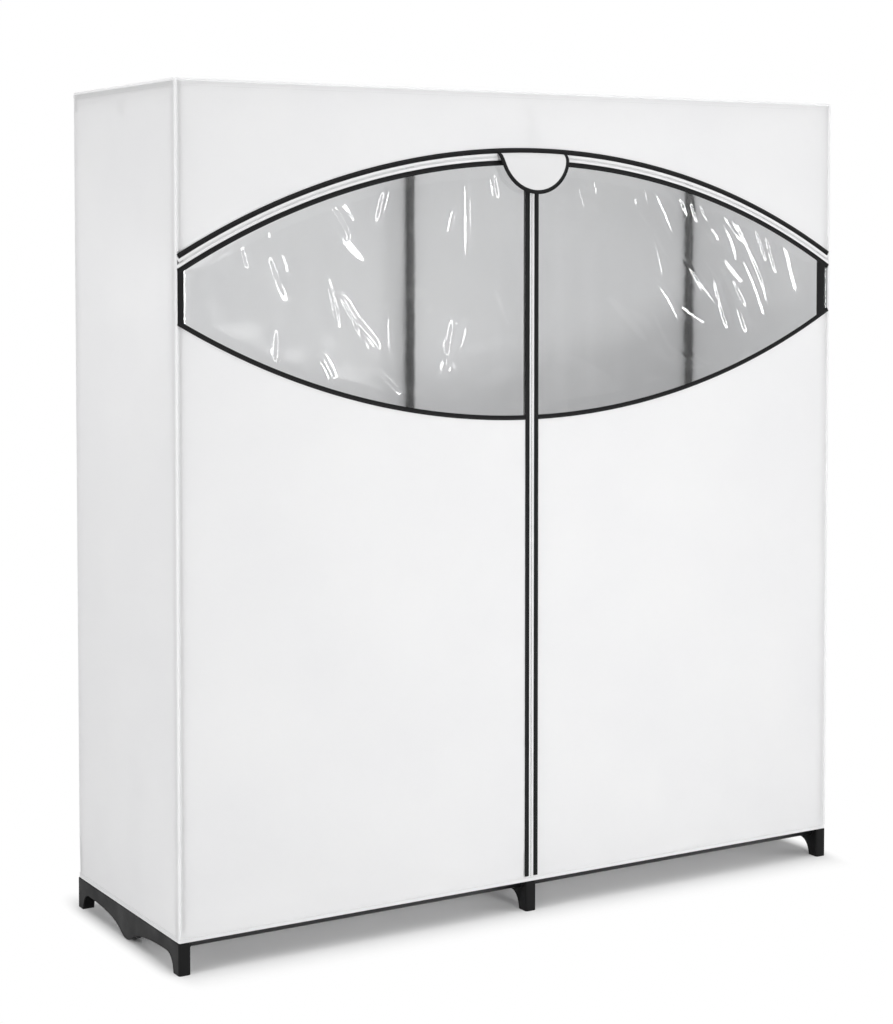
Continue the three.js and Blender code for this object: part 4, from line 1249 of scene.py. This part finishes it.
def makeHem():
    # Makes the band and gives its row of stitches.
    plan, normal = roundedLoop(
        size["halfWidth"] - hem["inset"], size["halfDepth"] - hem["inset"],
        (hem["frontRadius"], hem["backRadius"]), hem["step"],
    )
    middle = (hem["low"] + hem["high"]) / 2
    path = np.column_stack([plan - normal * hem["thick"] / 2, np.full(len(plan), middle)])
    out = np.column_stack([normal, np.zeros(len(plan))])
    up = np.tile([0.0, 0.0, 1.0], (len(plan), 1))
    profile = stripProfile(hem["high"] - hem["low"], hem["thick"], 0, hem["profileSides"])
    # The face is hollow between a roll at its lower edge and a smaller one at its upper edge, and dented
    # along the stitches.
    height = profile[:, 0]
    roll = sum(share * bell(height - place, width) for share, place, width in hem["rolls"])
    dent = hem["stitchDent"] * bell(height - hem["stitchUp"], hem["stitchWidth"])
    profile[:, 1] -= (dent + hem["hollow"] * (1 - roll)) * (profile[:, 1] > 0)
    shell = sweep(path, up, out, profile, closed=True)
    standIn("hem_band", [shell], whiteCloth, "frame_and_cover", sharp=60)
    line = path + out * (hem["thick"] / 2 - hem["stitchSunk"]) + [0, 0, hem["stitchUp"]]
    loop = np.concatenate([line, line[:1]]), np.concatenate([out, out[:1]])
    return [rowAlong(*loop, stitch["pitch"], stitchForm)]


topRow = {"fromSide": 8, "fromPiping": 9, "step": 6.0, "proud": 0.1}


def topStitches():
    # The row that holds the piping, a little below it, on the valance and the two sides.
    half = size["doorEdge"] - topRow["fromSide"]
    x = np.arange(-half, half + 1, topRow["step"])
    z = np.full(len(x), size["pipingZ"] - valance["stitchDrop"])
    y = size["clothFront"] + valanceRelief(x, z) - topRow["proud"]
    rows = [rowAlong(*onFront(np.stack([x, z], -1), y), stitch["pitch"], stitchForm)]
    y = np.arange(size["pipingY"] + topRow["fromPiping"], wall["foldY"], topRow["step"])
    z = np.full(len(y), size["pipingZ"] - valance["stitchDrop"])
    for side in (-1, 1):
        face = size["sideOuter"] - sideRelief(side, y, z) + topRow["proud"]
        out = np.tile([float(side), 0.0, 0.0], (len(y), 1))
        rows.append(rowAlong(np.stack([side * face, y, z], -1), out, stitch["pitch"], stitchForm))
    return rows


makePiping()
rows = makeHem() + topStitches()
makePiece("coverStitches", rows, whiteThreadPaintedShade, "frame_and_cover", sharp=60)
print("piping, hem and their stitches made")

# Tab over the zip ends
tab = {
    "radius": 81,
    "top": 1499.2,
    "face": -248.4,
    "bulge": 12,
    "run": 8,
    "lean": 0.1,
    "columns": 64,
    "rows": 34,
    "thick": 1.2,
    "wrinkle": 0.5,
    "wrinkleFade": 20,
    "under": 2,  # how far the cloth goes in under its rim
    "bindingWidth": 8,
    "bindingThick": 2,
    "bindingCrown": 0.35,
    "bindingSides": 22,
    "bindingSteps": 72,
    "stitchIn": 2,
    "stitchProud": 0.2,
}


def tabTop(x):
    return archEdge(tab["top"], x)


def tabOffset(x, z):
    # How far forward the tab hangs: bulge * (1 - exp(-drop / run)) + lean * drop.
    drop = tabTop(x) - z
    return tab["bulge"] * (1 - np.exp(-drop / tab["run"])) + tab["lean"] * drop


def makeTab():
    centre = float(tabTop(np.array(0.0)))
    inner = tab["radius"] - tab["bindingWidth"]
    radius = inner + tab["under"]
    along, up = np.meshgrid(np.linspace(-1, 1, tab["columns"] + 1), np.linspace(0, 1, tab["rows"] + 1))
    x = radius * 0.998 * np.sin(along * np.pi / 2)
    low = centre - np.sqrt(np.maximum(radius ** 2 - x ** 2, 0))
    top = tabTop(x)
    z = low + (top - low) * (1 - (1 - up) ** 2)
    wrinkle = tab["wrinkle"] * np.sin(x / 11 + 1.3 * np.sin(z / 23)) * np.sin(np.pi * up) ** 2
    fromRim = radius - np.hypot(x, z - centre)
    y = tab["face"] - tabOffset(x, z) + wrinkle * smoothStep(fromRim / tab["wrinkleFade"])
    shell = closedSheet(np.stack([x, y, z], -1), tab["thick"])
    panel = standIn("tab_panel", [shell], tabClothPaintedShade, "tab")
    angle = np.pi + np.linspace(0.002, np.pi - 0.002, tab["bindingSteps"])
    middle = (tab["radius"] + inner) / 2
    rimX = middle * np.cos(angle)
    rimZ = np.minimum(centre + middle * np.sin(angle), tabTop(rimX) - 0.05)
    path = np.stack([rimX, tab["face"] - tabOffset(rimX, rimZ) + tab["thick"] / 2, rimZ], -1)
    tangent = unit(np.gradient(path, axis=0))
    outward = np.stack([np.cos(angle), 0 * angle, np.sin(angle)], -1)
    out = unit(np.cross(outward, tangent))
    across = np.cross(tangent, out)
    profile = stripProfile(
        tab["bindingWidth"], tab["bindingThick"], tab["bindingCrown"], tab["bindingSides"]
    )
    out = out * np.sign(-out[:, 1:2])
    shell = sweep(path, across, out, profile)
    rim = standIn("tab_binding", [shell], blackBinding, "tab")
    inwards = -across * np.sign((across * outward).sum(-1))[:, None]
    line = path + out * (tab["bindingThick"] / 2 + tab["stitchProud"]) + inwards * tab["stitchIn"]
    rows = [rowAlong(line[3:-3], out[3:-3], stitch["pitch"], stitchForm)]
    stitches = makePiece("tabStitches", rows, blackThread, "tab", sharp=60)
    return panel, rim, stitches


tabPanel, tabBinding, tabStitches = makeTab()
print("tab made")

# Steel tubes
tube = {"radius": 9.5, "wall": 0.8, "rod": 11, "rodWall": 1, "sides": 40, "lip": 0.35, "neck": 40}


def turnedShell(start, axis, points, sides):
    # A section turned about an axis: point = start + axis * along + radius * (cos, sin). points run
    # once round the wall's section as (radius, along).
    axis = np.array(axis, float)
    first = unit(np.cross(axis, [0.2, 0.5, 0.84]))
    second = np.cross(axis, first)
    angle = 2 * np.pi * np.arange(sides) / sides
    radial = np.cos(angle)[:, None] * first + np.sin(angle)[:, None] * second
    ring = np.array(points, float)
    grid = np.array(start) + ring[:, None, 1:2] * axis + ring[:, None, 0:1] * radial[None]
    count = len(ring)
    quads = gridQuads(count - 1, sides, wrap=True)
    last = (count - 1) * sides + np.arange(sides)
    first = np.arange(sides)
    link = np.stack([last, np.roll(last, -1), np.roll(first, -1), first], -1)
    lay = np.stack(np.broadcast_arrays(ring[:, 1:2], angle[None] * ring[:, 0:1]), -1)
    return outwardShell(grid.reshape(-1, 3), np.concatenate([quads, link]), [], lay.reshape(-1, 2))


def tubeSection(radius, wallThick, length):
    lip, inner = tube["lip"], radius - wallThick
    return [(radius - lip, 0), (radius, lip), (radius, length - lip), (radius - lip, length),
            (inner, length), (inner, 0)]


def upperSection(length):
    # The upper half of an upright: a tube whose swaged neck goes down into the lower half.
    radius, inner = tube["radius"], tube["radius"] - tube["wall"]
    neckOuter, neckInner, neck = inner - 0.3, inner - 0.3 - tube["wall"], tube["neck"]
    return [(neckOuter, -neck), (neckOuter, -1.5), (radius - 0.5, 0), (radius, 1), (radius, length),
            (inner, length), (inner, neck), (neckInner, tube["wall"]), (neckInner, -neck)]


def makeTubes():
    for name in sorted(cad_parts):
        if not name.endswith(("_upright", "_tube", "_rod")):
            continue
        low, high = (np.array(corner) * 1000 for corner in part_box(name))
        centre = (low + high) / 2
        upright = name.endswith("_upright")
        axis = (0, 0, 1) if upright else (1, 0, 0)
        start = centre.copy()
        start[2 if upright else 0] = (low[2] if upright else low[0])
        length = (high - low)[2 if upright else 0]
        if name.endswith("upper_upright"):
            start[2] += tube["neck"]
            section = upperSection(length - tube["neck"])
        elif name.endswith("_rod"):
            section = tubeSection(tube["rod"], tube["rodWall"], length)
        else:
            section = tubeSection(tube["radius"], tube["wall"], length)
        shell = turnedShell(start, axis, section, tube["sides"])
        standIn(name, [shell], blackSteel, "frame_and_cover", sharp=50)


makeTubes()
print("tubes made")

# Resin bases and top rails: the frame's own forms with their edges rounded
softEdge = {"base": 0.9, "rail": 0.7, "zip": 0.25, "segments": 3, "angle": 32, "join": 0.02, "flat": 1.0}


def roundedCopy(node, material, body, width):
    # A copy of the solid: its loose triangles are joined, flat faces are dissolved into one and every
    # edge sharper than the angle gets a round bevel.
    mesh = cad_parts[node].data.copy()
    mesh.materials.clear()
    work = bmesh.new()
    work.from_mesh(mesh)
    bmesh.ops.remove_doubles(work, verts=work.verts, dist=softEdge["join"] / 1000)
    bmesh.ops.dissolve_limit(
        work, angle_limit=math.radians(softEdge["flat"]), verts=work.verts, edges=work.edges
    )
    work.to_mesh(mesh)
    work.free()
    mesh.polygons.foreach_set("use_smooth", np.ones(len(mesh.polygons), bool))
    mesh.set_sharp_from_angle(angle=math.radians(softEdge["angle"]))
    mesh.materials.append(material)
    piece = bpy.data.objects.new(pieceName(node), mesh)
    scene.collection.objects.link(piece)
    bevel = piece.modifiers.new("softEdge", "BEVEL")
    bevel.width = width / 1000
    bevel.segments = softEdge["segments"]
    bevel.limit_method = "ANGLE"
    bevel.angle_limit = math.radians(softEdge["angle"])
    bevel.use_clamp_overlap = True
    bevel.harden_normals = True
    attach(piece, body)
    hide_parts(node)


for place in ("left", "middle", "right"):
    for node, width in (("_base", softEdge["base"]), ("_top_rail", softEdge["rail"])):
        roundedCopy(place + node, blackResin, "frame_and_cover", width)
zipBodies = {
    "centre_slider": "centre_zip_slider",
    "centre_pull": "centre_zip_pull",
    "left_arch_slider": "left_arch_zip_slider",
    "left_arch_pull": "left_arch_zip_pull",
    "right_arch_slider": "right_arch_zip_slider",
    "right_arch_pull": "right_arch_zip_pull",
}
for node, body in zipBodies.items():
    roundedCopy(node, zipMetal, body, softEdge["zip"])
print("bases, rails and sliders rounded")
# Floor, world and lamps, in metres
studio = {
    "floorHalf": 12,
    "core": (0.745, 0.185, 0),  # half sizes of the floor under the cover where the camera sees the painted grey shadow colour in full, over the lamps' own shadow
    "whiteAt": 0.165,  # distance from it, in front and behind, at which the floor is plain white
    "steeper": (3.2, 1, 1),  # and how many times as fast it turns white to the left and right
    "floorColour": "#ffffff",
    # The grey that camera rays see on the floor near the cover: painted shadow.
    "shadeColour": "#dadada",
    "worldLight": 0.45,
    "lamps": [
        {"name": "frontBox", "place": (0.4, -4.6, 1.5), "aim": (0.2, 0, 0.8), "size": (0.3, 1.4),
         "power": 22},
        {"name": "nearBox", "place": (0.04, -2.3, 0.78), "aim": (0.1, -0.25, 0.9), "size": (0.36, 0.4),
         "power": 13.2},
        {"name": "topBox", "place": (-0.2, -0.3, 3.7), "aim": (0, 0, 0.5), "size": (2.6, 2.2),
         "power": 52},
        {"name": "sideBox", "place": (-4.0, -0.7, 1.5), "aim": (0, 0, 0.7), "size": (1.2, 2.0),
         "power": 54},
        {"name": "rimBox", "place": (3.4, -2.8, 1.9), "aim": (0.2, -0.2, 1.0), "size": (0.3, 1.8),
         "power": 38},
    ],
}


def makeStudio(setting):
    half = setting["floorHalf"]
    mesh = bpy.data.meshes.new("floor")
    corners = np.array([(-1, -1, 0), (1, -1, 0), (1, 1, 0), (-1, 1, 0)]) * half
    mesh.from_pydata(corners, [], [(0, 1, 2, 3)])
    material, tree = newMaterial("paintedFloor")
    place = addNode(tree, "ShaderNodeTexCoord").outputs["Object"]
    folded = addNode(tree, "ShaderNodeVectorMath", {"operation": "ABSOLUTE"}, {0: place})
    past = addNode(
        tree, "ShaderNodeVectorMath", {"operation": "SUBTRACT"},
        {0: folded.outputs["Vector"], 1: setting["core"]},
    )
    past = addNode(
        tree, "ShaderNodeVectorMath", {"operation": "MAXIMUM"}, {0: past.outputs["Vector"], 1: (0, 0, 0)}
    )
    past = addNode(
        tree, "ShaderNodeVectorMath", {"operation": "MULTIPLY"},
        {0: past.outputs["Vector"], 1: setting["steeper"]},
    )
    away = addNode(tree, "ShaderNodeVectorMath", {"operation": "LENGTH"}, {0: past.outputs["Vector"]})
    far = addNode(
        tree,
        "ShaderNodeMapRange",
        {"interpolation_type": "SMOOTHSTEP"},
        {"Value": away.outputs["Value"], "From Min": 0.0, "From Max": setting["whiteAt"]},
    )
    path = addNode(tree, "ShaderNodeLightPath")
    seen = addNode(
        tree, "ShaderNodeMath", {"operation": "MAXIMUM"},
        {0: path.outputs["Is Camera Ray"], 1: path.outputs["Is Glossy Ray"]},
    )
    seen = addNode(
        tree, "ShaderNodeMath", {"operation": "MAXIMUM"},
        {0: seen.outputs["Value"], 1: path.outputs["Is Transmission Ray"]},
    )
    share = addNode(
        tree, "ShaderNodeMath", {"operation": "MULTIPLY"},
        {0: far.outputs["Result"], 1: seen.outputs["Value"]},
    )
    # Rays from the camera see the floor in a darker grey, a painted shadow; it shows only near the cover,
    # where the white fades out, and deepens the lamps' shadow there. Other rays see it white.
    paint = addNode(
        tree, "ShaderNodeMix", {"data_type": "RGBA"},
        {0: seen.outputs["Value"], 6: linear(setting["floorColour"]), 7: linear(setting["shadeColour"])},
    )
    matt = addNode(tree, "ShaderNodeBsdfDiffuse", None, {"Color": paint.outputs[2]})
    white = addNode(tree, "ShaderNodeEmission", None, {"Color": (1, 1, 1, 1), "Strength": 1.0})
    mixed = addNode(
        tree, "ShaderNodeMixShader", None,
        {0: share.outputs["Value"], 1: matt.outputs["BSDF"], 2: white.outputs["Emission"]},
    )
    addNode(tree, "ShaderNodeOutputMaterial", None, {"Surface": mixed.outputs["Shader"]})
    mesh.materials.append(material)
    floor = bpy.data.objects.new("floor", mesh)
    scene.collection.objects.link(floor)

    world = bpy.data.worlds.new("studioWorld")
    world.use_nodes = True
    tree = world.node_tree
    tree.nodes.clear()
    path = addNode(tree, "ShaderNodeLightPath")
    seen = addNode(
        tree, "ShaderNodeMath", {"operation": "MAXIMUM"},
        {0: path.outputs["Is Camera Ray"], 1: path.outputs["Is Transmission Ray"]},
    )
    strength = addNode(
        tree,
        "ShaderNodeMapRange",
        None,
        {"Value": seen.outputs["Value"], "To Min": setting["worldLight"], "To Max": 1.0},
    )
    sky = addNode(
        tree, "ShaderNodeBackground", None,
        {"Color": (1, 1, 1, 1), "Strength": strength.outputs["Result"]},
    )
    addNode(tree, "ShaderNodeOutputWorld", None, {"Surface": sky.outputs["Background"]})
    scene.world = world

    for lamp in setting["lamps"]:
        data = bpy.data.lights.new(lamp["name"], "AREA")
        data.shape = "RECTANGLE"
        data.size, data.size_y = lamp["size"]
        data.energy = lamp["power"]
        piece = bpy.data.objects.new(lamp["name"], data)
        piece.location = lamp["place"]
        toAim = Vector(lamp["aim"]) - Vector(lamp["place"])
        piece.rotation_euler = toAim.to_track_quat("-Z", "Y").to_euler()
        scene.collection.objects.link(piece)


makeStudio(studio)
scene.view_settings.view_transform = "Standard"
print("floor and lamps placed")
